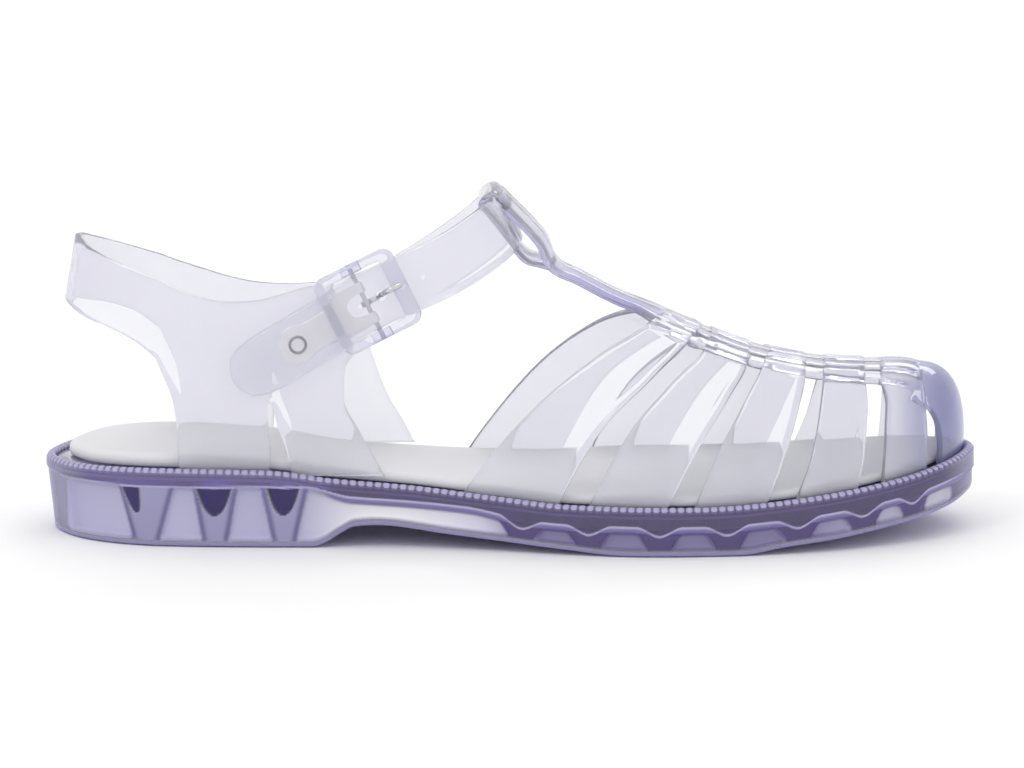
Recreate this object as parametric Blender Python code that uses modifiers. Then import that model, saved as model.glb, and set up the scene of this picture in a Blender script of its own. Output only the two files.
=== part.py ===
"""Clear jelly sandal for the right foot: woven vamp, T-strap, buckled ankle strap, moulded sole.

+X points to the toe, +Y to the inner side of the foot, +Z up. The sole stands on Z = 0.
"""

import math

import bmesh
import bpy
from mathutils import Vector

# Driving sizes, in metres
LENGTH = 0.264
BALL_WIDTH = 0.0925
HEEL_WIDTH = 0.0655
HEEL_STACK = 0.0226
BALL_STACK = 0.0141
TOE_STACK = 0.023
TOE_SPRING = 0.0107
BREAST_RISE = 0.0063
INSTEP_HEIGHT = 0.0635
TOE_BOX_HEIGHT = 0.047
COLLAR_HEIGHT = 0.0845
COLLAR_WIDTH = 0.041
LEAN = 1.5
LEAN_LIMIT = 0.9 * LEAN
WALL = 0.002
CLEARANCE = 0.0003

# Sole side and seat, in metres
BEAD_WIDTH = 0.0027
BEAD_STEP = 0.0011
SEAT_DEPTH = 0.0036
FLANGE_WIDTH = 0.006
FLANGE_DROP = 0.0013
WINDOW_DEPTH = 0.002
PLATE_HEIGHT = 0.0015
BAND_HEIGHT = 0.007
HEEL_BAND_HEIGHT = 0.0052
HEEL_TAPER = 0.0018
WINDOW_LIP = 0.0006
TOE_WINDOW_END = 0.0065
HEEL_WINDOW_END = 0.0062
INSOLE_INSET = 0.0066
INSOLE_THICKNESS = 0.0029
INSOLE_EDGE = 0.001

# Straps, in metres
STRAND_PITCH = 0.0058
STRAND_GAP = 0.001
RELIEF = 0.0005
TOE_BULGE = 0.0012
T_STRAP_WIDTH = 0.017
LOOP_WIDTH = 0.021
ANKLE_STRAP_WIDTH = 0.0165
STRAP_STEP = 0.0006
STRAP_HOLE = 0.0015
PRONG_HOLE = 0.0031
HOLE_PITCH = 0.0065

# Buckle, in metres, along the strap from the axle
PLATE_THICKNESS = 0.0008
PLATE_REACH = 0.0228
PLATE_END_RADIUS = 0.0055
PLATE_WIDTH = 0.0125
PLATE_NECK = 0.0086
NOTCH_WIDTH = 0.0058
RIVET_RADIUS = 0.0027
RIVET_BORE = 0.0018
RIVET_HEAD = 0.0006
FRAME_REACH = 0.0105
FRAME_WIDTH = 0.0235
REAR_BAR = 0.0028
FRONT_BAR = 0.0046
FRAME_THICKNESS = 0.0024
EAR_LENGTH = 0.006
EAR_WALL = 0.0008
AXLE_RADIUS = 0.0007
KNUCKLE_WALL = 0.0006
KNUCKLE_WIDTH = 0.0032
PRONG_RADIUS = 0.0007

# Outline of the sole from the heel tip round the outer side: share of the length from the heel tip,
# share of the local width from the centre line, minus on the outer side
OUTLINE = (
    (0.000, 0.000),
    (0.015, -0.205),
    (0.045, -0.355),
    (0.091, -0.455),
    (0.140, -0.492),
    (0.216, -0.500),
    (0.292, -0.498),
    (0.386, -0.475),
    (0.481, -0.468),
    (0.557, -0.482),
    (0.633, -0.502),
    (0.708, -0.497),
    (0.784, -0.465),
    (0.860, -0.395),
    (0.917, -0.305),
    (0.955, -0.215),
    (0.985, -0.095),
    (1.000, 0.055),
    (0.989, 0.185),
    (0.962, 0.285),
    (0.917, 0.380),
    (0.860, 0.443),
    (0.784, 0.487),
    (0.690, 0.497),
    (0.614, 0.470),
    (0.538, 0.425),
    (0.462, 0.375),
    (0.386, 0.360),
    (0.311, 0.375),
    (0.235, 0.425),
    (0.159, 0.470),
    (0.102, 0.462),
    (0.053, 0.385),
    (0.019, 0.225),
)

# Height of the rim: share of the length, height
RIM = (
    (0.00, 0.955 * HEEL_STACK),
    (0.05, 0.980 * HEEL_STACK),
    (0.12, HEEL_STACK),
    (0.24, 0.977 * HEEL_STACK),
    (0.31, 0.875 * HEEL_STACK),
    (0.40, 0.790 * HEEL_STACK),
    (0.48, 1.130 * BALL_STACK),
    (0.56, 1.020 * BALL_STACK),
    (0.70, BALL_STACK),
    (0.80, 1.100 * BALL_STACK),
    (0.92, 0.830 * TOE_STACK),
    (1.00, TOE_STACK),
)

# Height of the underside: share of the length, height
UNDERSIDE = (
    (0.000, 0.0),
    (0.288, 0.0),
    (0.300, 0.16 * BREAST_RISE),
    (0.318, 0.62 * BREAST_RISE),
    (0.333, 0.93 * BREAST_RISE),
    (0.355, BREAST_RISE),
    (0.432, 0.67 * BREAST_RISE),
    (0.500, 0.41 * BREAST_RISE),
    (0.560, 0.20 * BREAST_RISE),
    (0.625, 0.0),
    (0.745, 0.0),
    (0.795, 0.17 * TOE_SPRING),
    (0.845, 0.29 * TOE_SPRING),
    (0.898, 0.46 * TOE_SPRING),
    (0.947, 0.64 * TOE_SPRING),
    (0.973, 0.77 * TOE_SPRING),
    (1.000, TOE_SPRING),
)

# Pillars of the sole's side: share of the length, width at the band, width at the foot
PILLARS = (
    (0.110, 0.0150, 0.0066),
    (0.184, 0.0118, 0.0063),
    (0.258, 0.0125, 0.0057),
    (0.511, 0.0115, 0.0052),
    (0.583, 0.0115, 0.0052),
    (0.659, 0.0115, 0.0052),
    (0.732, 0.0115, 0.0052),
    (0.808, 0.0115, 0.0052),
    (0.878, 0.0105, 0.0050),
    (0.932, 0.0080, 0.0045),
)

# Height of the last's ridge, at the outside of the wall: share of the length, height
RIDGE = (
    (0.42, 1.57 * INSTEP_HEIGHT),
    (0.50, 1.32 * INSTEP_HEIGHT),
    (0.57, 1.17 * INSTEP_HEIGHT),
    (0.64, 1.03 * INSTEP_HEIGHT),
    (0.70, 0.925 * INSTEP_HEIGHT),
    (0.755, 0.837 * INSTEP_HEIGHT),
    (0.81, 0.783 * INSTEP_HEIGHT),
    (0.87, 1.020 * TOE_BOX_HEIGHT),
    (0.92, 1.015 * TOE_BOX_HEIGHT),
    (0.95, 0.975 * TOE_BOX_HEIGHT),
    (1.00, 0.800 * TOE_BOX_HEIGHT),
)

# Cross straps, by shares of the length at the rim, a quarter, half and three quarters of the way
# up, and on the ridge: rear edge, then front edge
CROSS_STRAPS = (
    ((0.443, 0.514, 0.586, 0.640, 0.667), (0.545, 0.593, 0.650, 0.688, 0.705)),
    ((0.578, 0.621, 0.670, 0.706, 0.716), (0.665, 0.701, 0.733, 0.754, 0.758)),
    ((0.695, 0.723, 0.750, 0.769, 0.777), (0.775, 0.797, 0.811, 0.818, 0.818)),
    ((0.807, 0.826, 0.834, 0.837, 0.837), (0.877, 0.886, 0.888, 0.884, 0.881)),
    ((0.905, 0.908, 0.908, 0.900, 0.898), (0.957, 0.957, 0.953, 0.947, 0.945)),
)
STRANDS = 5
# Shares of the length: ends of the strands, then the toe band's rear edge at the rim and its top
STRAND_ENDS = (0.672, 0.940)
TOE_BAND = (0.9715, 0.935)

# T-strap along the middle, at the outside of the wall: share of the length, share of the collar's
# height; the last two rows are the loop's bend and its top
T_STRAP = (
    (0.690, 0.708),
    (0.651, 0.762),
    (0.616, 0.806),
    (0.578, 0.868),
    (0.551, 0.915),
    (0.536, 1.010),
    (0.490, 1.160),
)
LOOP_DEPTH = 0.0049

# Side of the quarter, by height: share of the collar's height, then shares of the length at the
# front edge on the outer side, the front edge on the inner side, the slot and the rear edge
QUARTER = (
    (0.235, 0.366, 0.396, 0.2540, 0.146),
    (0.310, 0.352, 0.384, 0.2525, 0.144),
    (0.390, 0.338, 0.369, 0.2465, 0.143),
    (0.490, 0.322, 0.356, 0.2425, 0.138),
    (0.590, 0.323, 0.346, 0.2400, 0.125),
    (0.640, 0.333, 0.342, 0.2380, 0.118),
)
SLOT_WIDTH = 0.0056
SLOT_TOP_ROW = 3

# Top edge of the quarter from front to rear: share of the length, shares of the collar's height on
# the outer and the inner side
COLLAR = (
    (0.310, 0.868, 0.791),
    (0.285, 0.862, 0.787),
    (0.260, 0.840, 0.783),
    (0.228, 0.815, 0.789),
    (0.196, 0.810, 0.810),
    (0.168, 0.827, 0.838),
    (0.140, 0.862, 0.868),
    (0.118, 0.895, 0.895),
)

# Back strap round the heel: share of the way to the heel's middle, lower edge and top edge as
# shares of the collar's height
BACK_STRAP = (
    (0.00, 0.625, 0.892),
    (0.15, 0.680, 0.913),
    (0.36, 0.720, 0.943),
    (0.60, 0.747, 0.972),
    (0.80, 0.768, 0.992),
    (1.00, 0.778, 1.000),
)
BACK_CENTRE = COLLAR[-1][0] + 0.002
BACK_REACH = 0.0259
BACK_LEAN = 0.0141
BACK_OVERLAP = 0.0015

# Ankle strap's middle line where it lies along the quarters, and where it crosses the instep
# between them: share of the length, share of the collar's height; the arch has the side between,
# as a share of the collar's width
STRAP_ROOT = (
    (0.285, 0.655),
    (0.330, 0.706),
    (0.380, 0.776),
)
STRAP_ARCH = (
    (0.430, 0.510, 0.872),
    (0.470, 0.430, 0.970),
    (0.492, 0.270, 1.043),
    (0.497, 0.000, 1.072),
    (0.492, -0.270, 1.058),
    (0.470, -0.430, 1.010),
    (0.435, -0.520, 0.943),
)
STRAP_TAIL = (
    (0.395, 0.882),
    (0.346, 0.815),
    (0.300, 0.728),
    (0.250, 0.637),
    (0.204, 0.556),
)
BUCKLE_ROW = 1


def curve(rows, at):
    """Smooth value of the rows' second column where the first column is at, flat past both ends."""
    places = [row[0] for row in rows]
    values = [row[1] for row in rows]
    if places[0] > places[-1]:
        places.reverse()
        values.reverse()
    if at <= places[0]:
        return values[0]
    if at >= places[-1]:
        return values[-1]
    i = max(k for k in range(len(places) - 1) if places[k] <= at)
    slopes = [(values[k + 1] - values[k]) / (places[k + 1] - places[k]) for k in range(len(places) - 1)]

    def tangent(k):
        if k == 0 or k == len(places) - 1:
            return slopes[min(k, len(slopes) - 1)]
        before, after = slopes[k - 1], slopes[k]
        return 0.0 if before * after <= 0 else 2 * before * after / (before + after)

    span = places[i + 1] - places[i]
    t = (at - places[i]) / span
    return (
        (2 * t**3 - 3 * t**2 + 1) * values[i]
        + (t**3 - 2 * t**2 + t) * span * tangent(i)
        + (3 * t**2 - 2 * t**3) * values[i + 1]
        + (t**3 - t**2) * span * tangent(i + 1)
    )


def blend(low, high, share):
    return low + (high - low) * share


def ease(low, high, at):
    """0 below low, 1 above high, smooth between."""
    t = min(max((at - low) / (high - low), 0.0), 1.0)
    return t * t * (3 - 2 * t)


def spline_point(points, at):
    """Point at this place along a Catmull-Rom curve through the points, at counted in points."""
    last = len(points) - 1
    i = min(int(at), last - 1)
    t = at - i
    before = points[max(i - 1, 0)]
    after = points[min(i + 2, last)]
    start, end = points[i], points[i + 1]
    return 0.5 * (
        2 * start
        + (end - before) * t
        + (2 * before - 5 * start + 4 * end - after) * t**2
        + (3 * start - before - 3 * end + after) * t**3
    )


def along_x(share):
    return (share - 0.5) * LENGTH


def share_of(x):
    return x / LENGTH + 0.5


def outline_loop(steps):
    """The sole's outline as points and inward normals, starting at the heel tip."""
    corners = []
    for along, across in OUTLINE:
        width = blend(HEEL_WIDTH, BALL_WIDTH, ease(0.30, 0.62, along))
        corners.append(Vector((along_x(along), across * width)))
    count = len(corners)
    loop = []
    for i in range(count):
        around = [corners[(i + k) % count] for k in (-1, 0, 1, 2)]
        for step in range(steps):
            t = step / steps
            loop.append(spline_point(around, 1 + t))
    middle = Vector([(min(p[k] for p in loop) + max(p[k] for p in loop)) / 2 for k in (0, 1)])
    loop = [point - middle for point in loop]
    normals = []
    for i, _ in enumerate(loop):
        run = loop[(i + 1) % len(loop)] - loop[i - 1]
        normals.append(Vector((-run.y, run.x)).normalized())
    return loop, normals


LOOP, NORMALS = outline_loop(24)
TOE_INDEX = max(range(len(LOOP)), key=lambda i: LOOP[i].x)
# The side of the loop that runs from the heel tip to the toe tip first: the outer one
OUTER, INNER = -1, 1


def rim_point(side, x, inset=0.0):
    """Point of the outline at this x on one side, moved inwards."""
    order = range(0, TOE_INDEX + 1) if side == OUTER else range(len(LOOP), TOE_INDEX - 1, -1)
    order = list(order)
    for before, after in zip(order, order[1:]):
        start, end = LOOP[before % len(LOOP)], LOOP[after % len(LOOP)]
        if start.x <= x <= end.x and end.x > start.x:
            t = (x - start.x) / (end.x - start.x)
            normal = NORMALS[before % len(LOOP)].lerp(NORMALS[after % len(LOOP)], t).normalized()
            return start.lerp(end, t) + normal * inset
    tip = 0 if x < LOOP[0].x + 0.001 else TOE_INDEX
    return LOOP[tip] + NORMALS[tip] * inset


def rim_height(x):
    return curve(RIM, share_of(x))


def underside(x):
    return curve(UNDERSIDE, share_of(x))


STRAP_INSET = BEAD_WIDTH + 1.5 * CLEARANCE + WALL / 2


def flange_height(x):
    """Middle of the flange's thickness."""
    return rim_height(x) - FLANGE_DROP - WALL / 2


def ridge_side(x):
    return 0.019 * LENGTH * ease(0.70, 0.98, share_of(x))


def last_point(side, x, turn):
    """Middle of the vamp's wall: turn is 0 at the rim of this side and 1 on the ridge."""
    foot = rim_point(side, x, STRAP_INSET)
    angle = turn * math.pi / 2
    top = curve(RIDGE, share_of(x)) - WALL / 2 - RELIEF
    base = flange_height(foot.x)
    return Vector(
        (
            x + (foot.x - x) * math.cos(angle),
            ridge_side(x) + (foot.y - ridge_side(x)) * math.cos(angle),
            base + (top - base) * math.sin(angle),
        )
    )


def over_ridge(x, turn):
    """As last_point, with turn running from 0 at the outer rim over 1 to 2 at the inner rim."""
    return last_point(OUTER, x, turn) if turn <= 1 else last_point(INNER, x, 2 - turn)


def vamp_point(x, y):
    """Middle of the vamp's wall above a plan position near the ridge."""
    side = OUTER if y < ridge_side(x) else INNER
    reach = rim_point(side, x, STRAP_INSET).y - ridge_side(x)
    return last_point(side, x, 1 - math.asin(min((y - ridge_side(x)) / reach, 1.0)) / (math.pi / 2))


def half_width(side, x, z):
    """Half the inside of the ankle, at the middle of the quarter's wall."""
    base = abs(rim_point(side, x, STRAP_INSET).y)
    rise = (z - flange_height(x)) / (0.8 * COLLAR_HEIGHT - flange_height(x))
    return blend(base, COLLAR_WIDTH / 2, min(max(rise, 0.0), LEAN_LIMIT) ** LEAN)


def quarter_point(side, x, z):
    return Vector((x, side * half_width(side, x, z), z))


def back_point(side, share, z):
    """Back strap's middle: share 0 where it meets the quarter, 1 behind the heel."""
    centre = along_x(BACK_CENTRE)
    angle = share * math.pi / 2
    reach = BACK_REACH - BACK_LEAN * (z / COLLAR_HEIGHT - 0.8) - WALL / 2
    width = half_width(side, centre, z)
    return Vector((centre - reach * math.sin(angle), side * width * math.cos(angle), z))


def new_object(name, mesh, collection):
    made = bpy.data.objects.new(name, mesh)
    collection.objects.link(made)
    return made


def mesh_from(name, points, faces):
    mesh = bpy.data.meshes.new(name)
    shape = bmesh.new()
    corners = [shape.verts.new(point) for point in points]
    for face in faces:
        shape.faces.new([corners[i] for i in face])
    bmesh.ops.recalc_face_normals(shape, faces=shape.faces)
    shape.to_mesh(mesh)
    shape.free()
    return mesh


def grid_faces(rows, columns, closed=False):
    """Quads of a grid of rows by columns; closed joins the last row to the first."""
    faces = []
    for r in range(rows if closed else rows - 1):
        for c in range(columns - 1):
            after = (r + 1) % rows
            faces.append((r * columns + c, r * columns + c + 1, after * columns + c + 1, after * columns + c))
    return faces


def sheet(name, grid, collection, thickness=WALL, closed=False, holes=(), even=True):
    """An open sheet of quads with a wall of this thickness about it."""
    columns = len(grid[0])
    faces = [f for i, f in enumerate(grid_faces(len(grid), columns, closed)) if i not in holes]
    mesh = mesh_from(name, [point for row in grid for point in row], faces)
    made = new_object(name, mesh, collection)
    wall = made.modifiers.new("wall", "SOLIDIFY")
    wall.thickness = thickness
    wall.offset = 0
    wall.use_even_offset = even
    return made


def raised(grid, heights):
    """The grid with each point moved along its own normal by the height at its place."""
    rows, columns = len(grid), len(grid[0])
    moved = []
    for r in range(rows):
        line = []
        for c in range(columns):
            run = grid[min(r + 1, rows - 1)][c] - grid[max(r - 1, 0)][c]
            across = grid[r][min(c + 1, columns - 1)] - grid[r][max(c - 1, 0)]
            normal = run.cross(across).normalized()
            if normal.z < 0:
                normal.negate()
            line.append(grid[r][c] + normal * heights(r, c))
        moved.append(line)
    return moved


def is_over(strap, strand):
    """Whether a cross strap passes over a lengthwise strand."""
    return (strap + strand) % 2 == 0


def weave_turns(x):
    """Turns of the strands' middles and edges at one station, from the outer side."""
    turns = []
    for k in range(2 * STRANDS + 1):
        y = ridge_side(x) + (k - STRANDS) * STRAND_PITCH / 2
        side = OUTER if k <= STRANDS else INNER
        reach = rim_point(side, x, STRAP_INSET).y - ridge_side(x)
        turn = 1 - math.asin((y - ridge_side(x)) / reach) / (math.pi / 2)
        turns.append(turn if side == OUTER else 2 - turn)
    return turns


def edge_share(edge, turn):
    places = (0.0, 0.25, 0.5, 0.75, 1.0)
    return curve(tuple(zip(places, edge)), turn if turn <= 1 else 2 - turn)


def cross_strap(index, collection):
    """One strap over the foot, from flange to flange, woven with the strands on the ridge."""
    rear, front = CROSS_STRAPS[index]
    middle_x = along_x((rear[-1] + front[-1]) / 2)
    woven = weave_turns(middle_x)
    start = woven[0]
    climbing = [start * k / 7 for k in range(7)]
    turns = climbing + woven + [2 - turn for turn in reversed(climbing)]
    first = len(climbing)

    def height(r, _):
        k = r - first
        if k < 0 or k > 2 * STRANDS or k % 2 == 0:
            return 0.0
        return RELIEF if is_over(index, (k - 1) // 2) else -RELIEF

    grid = []
    for turn in turns:
        low = along_x(edge_share(rear, turn))
        high = along_x(edge_share(front, turn))
        grid.append([over_ridge(blend(low, high, c / 2), turn) for c in range(3)])
    return sheet(f"cross_strap_{index + 1}", raised(grid, height), collection)


def strand(index, collection):
    """One strand along the ridge, under the straps that pass over it and over the others."""
    offset = (index - (STRANDS - 1) / 2) * STRAND_PITCH
    half = (STRAND_PITCH - STRAND_GAP) / 2
    stations = [(STRAND_ENDS[0], RELIEF * (-1 if is_over(0, index) else 1))]
    for number, (rear, front) in enumerate(CROSS_STRAPS):
        height = -RELIEF if is_over(number, index) else RELIEF
        low, high = rear[-1], front[-1]
        if number:
            stations.append((blend(low, high, 0.12), height))
        if number < len(CROSS_STRAPS) - 1:
            stations.append((blend(low, high, 0.88), height))
    stations.append((STRAND_ENDS[1], stations[-1][1]))
    grid = []
    for share, _ in stations:
        x = along_x(share)
        middle = ridge_side(x) + offset
        grid.append([vamp_point(x, middle + side * half) for side in (-1, 0, 1)])
    return sheet(f"strand_{index + 1}", raised(grid, lambda r, c: stations[r][1]), collection)


def toe_band(collection):
    """The band round the toe, rising from the flange to the foremost strap."""
    columns, rows = 12, 6
    start = min(range(TOE_INDEX), key=lambda i: abs(LOOP[i].x - along_x(TOE_BAND[0])))
    end = min(range(TOE_INDEX, len(LOOP)), key=lambda i: abs(LOOP[i].x - along_x(TOE_BAND[0])))
    top_x = along_x(TOE_BAND[1])
    grid = []
    for c in range(columns + 1):
        share = c / columns
        place = blend(start, end, share)
        i = int(place)
        foot = LOOP[i].lerp(LOOP[(i + 1) % len(LOOP)], place - i) + NORMALS[i] * STRAP_INSET
        base = flange_height(foot.x)
        side_reach = blend(-1, 1, share) * 3.1 * STRAND_PITCH
        top = vamp_point(top_x, ridge_side(top_x) + side_reach)
        line = []
        for r in range(rows + 1):
            angle = r / rows * math.pi / 2
            out = math.cos(angle) ** 0.72
            bulge = TOE_BULGE * math.sin(2 * angle)
            outward = -NORMALS[i]
            line.append(
                Vector(
                    (
                        top.x + (foot.x - top.x) * out + outward.x * bulge,
                        top.y + (foot.y - top.y) * out + outward.y * bulge,
                        base + (top.z - base) * math.sin(angle) ** 0.9,
                    )
                )
            )
        grid.append(line)
    return sheet("toe_band", grid, collection)


def outline_ring(inset, height):
    """Points round the outline from the heel tip by the outer side, and back by the inner one."""
    stations = rim_stations()
    outer = [rim_point(OUTER, x, inset) for x in stations]
    inner = [rim_point(INNER, x, inset) for x in stations[-2:0:-1]]
    return [Vector((point.x, point.y, height(point.x))) for point in outer + inner]


def cross_faces(start, count):
    """Faces across a ring of points whose two sides match station by station."""
    half = count // 2
    faces = [(start, start + 1, start + count - 1)]
    for k in range(1, half - 1):
        faces.append((start + k, start + k + 1, start + count - k - 1, start + count - k))
    faces.append((start + half - 1, start + half, start + half + 1))
    return faces


def stacked(name, rings, collection):
    """A closed solid from rings of points, from the underside outwards and up to the top face."""
    count = len(rings[0])
    points = [point for ring in rings for point in ring]
    faces = []
    for r in range(len(rings) - 1):
        for i in range(count):
            j = (i + 1) % count
            faces.append((r * count + i, r * count + j, (r + 1) * count + j, (r + 1) * count + i))
    faces += cross_faces(0, count)
    faces += cross_faces((len(rings) - 1) * count, count)
    return new_object(name, mesh_from(name, points, faces), collection)


def flange(collection):
    """The rim of the upper that lies in the sole's seat."""
    outer = outline_ring(STRAP_INSET - WALL / 2, flange_height)
    inner = outline_ring(STRAP_INSET - WALL / 2 + FLANGE_WIDTH, flange_height)
    grid = [[a, b] for a, b in zip(outer, inner)]
    return sheet("flange", grid, collection, closed=True)


def collar_rows(side):
    return tuple((row[0], row[1] if side == OUTER else row[2]) for row in COLLAR)


def quarter(side, collection):
    """One side of the heel: two legs with a slot between them, and the panel above."""
    front_column = 1 if side == OUTER else 2
    legs = 3
    grid = []
    for r, row in enumerate(QUARTER):
        z = row[0] * COLLAR_HEIGHT
        front, slot, rear = (along_x(row[k]) for k in (front_column, 3, 4))
        open_half = SLOT_WIDTH / 2 * max(1 - r / SLOT_TOP_ROW, 0.0) + 0.0004 * (r <= SLOT_TOP_ROW)
        stations = [blend(front, slot + open_half, k / legs) for k in range(legs + 1)]
        stations += [blend(slot - open_half, rear, k / legs) for k in range(legs + 1)]
        if r > SLOT_TOP_ROW:
            stations = [blend(front, rear, k / (2 * legs + 1)) for k in range(2 * legs + 2)]
        base = [flange_height(x) if r == 0 else z for x in stations]
        grid.append([quarter_point(side, x, h) for x, h in zip(stations, base)])
    top_low = grid[-1]
    count = len(top_low)
    for step in (0.5, 1.0):
        line = []
        for k in range(count):
            share = k / (count - 1)
            along = blend(COLLAR[0][0], COLLAR[-1][0], share)
            edge = Vector((along_x(along), 0, curve(collar_rows(side), along) * COLLAR_HEIGHT))
            x = blend(top_low[k].x, edge.x, step)
            line.append(quarter_point(side, x, blend(top_low[k].z, edge.z, step)))
        grid.append(line)
    slot_column = legs
    holes = [r * (count - 1) + slot_column for r in range(SLOT_TOP_ROW)]
    name = "outer_quarter" if side == OUTER else "inner_quarter"
    return sheet(name, grid, collection, holes=holes)


def back_strap(collection):
    """The strap round the back of the heel, from quarter to quarter."""
    lows = tuple((row[0], row[1]) for row in BACK_STRAP)
    highs = tuple((row[0], row[2]) for row in BACK_STRAP)
    grid = []
    places = [-1] + [k / 8 for k in range(9)]
    for side, order in ((OUTER, places), (INNER, places[-2::-1])):
        for place in order:
            low = curve(lows, place) * COLLAR_HEIGHT
            high = curve(highs, place) * COLLAR_HEIGHT
            overlap = along_x(BACK_CENTRE) - place * BACK_OVERLAP
            if place < 0:
                low += WALL / 2
                high = curve(collar_rows(side), share_of(overlap)) * COLLAR_HEIGHT
            line = []
            for z in (low, blend(low, high, 0.5), high):
                if place < 0:
                    line.append(quarter_point(side, overlap, z))
                else:
                    line.append(back_point(side, place, z))
            grid.append(line)
    return sheet("back_strap", grid, collection, thickness=WALL - 0.0002)


def t_strap_points():
    return [Vector((along_x(a), 0, h * COLLAR_HEIGHT)) for a, h in T_STRAP]


def loop_direction():
    points = t_strap_points()
    return (points[-1] - points[-3]).normalized()


def t_strap(collection):
    """The strap up the instep, ending as the front of the loop."""
    points = t_strap_points()
    grid = []
    for i in range(13):
        place = i / 12 * (len(points) - 1)
        middle = spline_point(points, place)
        ahead = spline_point(points, min(place + 0.05, len(points) - 1))
        behind = spline_point(points, max(place - 0.05, 0))
        run = (ahead - behind).normalized()
        down = Vector((-run.z, 0, run.x))
        if down.z > 0:
            down.negate()
        half = blend(T_STRAP_WIDTH, LOOP_WIDTH, ease(3.2, 4.6, place)) / 2
        half = max(half, blend(2.35 * STRAND_PITCH, half, ease(0.0, 1.6, place)))
        line = []
        for c in range(5):
            side = c / 2 - 1
            sag = 0.0011 * side * side * (half / (T_STRAP_WIDTH / 2)) ** 2
            line.append(middle + down * (WALL / 2 + sag) + Vector((0, side * half, 0)))
        grid.append(line)
    return sheet("t_strap", grid, collection, thickness=WALL + 0.0003)


def loop_back(collection):
    """The back of the loop: over the ankle strap's upper edge and down behind it."""
    points = t_strap_points()
    up = loop_direction()
    behind = Vector((-up.z, 0, up.x))
    if behind.x > 0:
        behind.negate()
    top = points[-1] + behind * WALL / 2
    gap = LOOP_DEPTH
    path = [
        top - up * 0.002,
        top + up * 0.0004,
        top + up * 0.0012 + behind * gap * 0.5,
        top + up * 0.0002 + behind * gap,
        top - up * 0.004 + behind * gap,
        top - up * 0.012 + behind * gap,
        top - up * 0.0195 + behind * gap * 0.98,
        top - up * 0.0235 + behind * gap * 0.45,
        top - up * 0.0262 + behind * gap * 0.02,
    ]
    half = 0.92 * LOOP_WIDTH / 2
    grid = []
    for point in path:
        line = []
        for c in range(5):
            side = c / 2 - 1
            line.append(point + behind * 0.0013 * side * side + Vector((0, side * half, 0)))
        grid.append(line)
    return sheet("loop_back", grid, collection, thickness=WALL - 0.0004)


LAYERS = WALL + PLATE_THICKNESS + 2 * CLEARANCE
TAIL_START = len(STRAP_ROOT) + len(STRAP_ARCH)
AXLE_PLACE = TAIL_START + BUCKLE_ROW


def over_quarter(side, x, z, out):
    """Point out from the middle of the quarter's wall."""
    return Vector((x, side * (half_width(side, x, z) + out), z))


def ankle_rows():
    rows = [over_quarter(INNER, along_x(a), h * COLLAR_HEIGHT, STRAP_STEP) for a, h in STRAP_ROOT]
    rows += [Vector((along_x(a), side * COLLAR_WIDTH, h * COLLAR_HEIGHT)) for a, side, h in STRAP_ARCH]
    rows += [over_quarter(OUTER, along_x(a), h * COLLAR_HEIGHT, LAYERS) for a, h in STRAP_TAIL]
    return rows


ANKLE_ROWS = ankle_rows()
LAST_PLACE = len(ANKLE_ROWS) - 1


def ankle_middle(place):
    return spline_point(ANKLE_ROWS, min(max(place, 0.0), LAST_PLACE))


def ankle_point(place, across, out=0.0):
    """Point of the ankle strap: across is towards its lower edge, out is away from the ankle."""
    middle = ankle_middle(place)
    run = (ankle_middle(place + 0.08) - ankle_middle(place - 0.08)).normalized()
    flat = Vector((run.x, 0, run.z))
    lie = ease(0.16, 0.46, abs(middle.y) / COLLAR_WIDTH)
    width = Vector((0.45, 0, -0.89))
    if flat.length > 0.3:
        along = flat.normalized()
        turned = Vector((along.z, 0, -along.x)) if along.x * OUTER > 0 else Vector((-along.z, 0, along.x))
        if turned.z > 0:
            turned.negate()
        width = width.lerp(turned, lie)
    width.normalize()
    side = OUTER if middle.y < 0 else INNER
    moved = middle + width * across
    here = half_width(side, middle.x, middle.z)
    there = half_width(side, moved.x, moved.z)
    moved.y += side * (there - here) * lie
    slope = Vector((width.x, side * (there - here) / across * lie if across else 0.0, width.z))
    normal = run.cross(slope).normalized()
    outward = Vector((0.4, middle.y / COLLAR_WIDTH * 3, 0.3))
    if normal.dot(outward) < 0:
        normal.negate()
    return moved + normal * out


def strap_place(distance, start=AXLE_PLACE):
    """Place this far along the strap from the axle, minus towards the instep."""
    step = 0.01 if distance > 0 else -0.01
    gone = 0.0
    place = start
    while gone < abs(distance) and 0 < place < LAST_PLACE:
        gone += (ankle_middle(place + step) - ankle_middle(place)).length
        place += step
    return place


def ankle_strap(collection):
    """The strap from the inner quarter through the loop and the buckle to its free end."""
    steps = 34
    grid = []
    for i in range(steps + 1):
        place = i / steps * LAST_PLACE
        half = ANKLE_STRAP_WIDTH / 2
        tip = max(place - (LAST_PLACE - 1.0), 0)
        half *= math.sqrt(max(1 - tip**2.6, 0.03))
        grid.append([ankle_point(place, half * side) for side in (-1, -0.01, 1)])
    return sheet("ankle_strap", grid, collection)


def strap_hole(name, place, radius, collection):
    """A cutter through the ankle strap at this place along it."""
    middle = ankle_point(place, 0.0001)
    normal = ankle_point(place, 0.0001, WALL) - middle
    bpy.ops.mesh.primitive_cylinder_add(vertices=12, radius=radius, depth=4 * WALL, location=middle)
    made = bpy.context.object
    made.name = name
    made.rotation_mode = "QUATERNION"
    made.rotation_quaternion = normal.to_track_quat("Z", "Y")
    for old in made.users_collection:
        old.objects.unlink(made)
    collection.objects.link(made)
    return made


def joined(target, operation, others):
    for other in others:
        step = target.modifiers.new(other.name, "BOOLEAN")
        step.operation = operation
        step.object = other
        step.solver = "EXACT"


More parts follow.
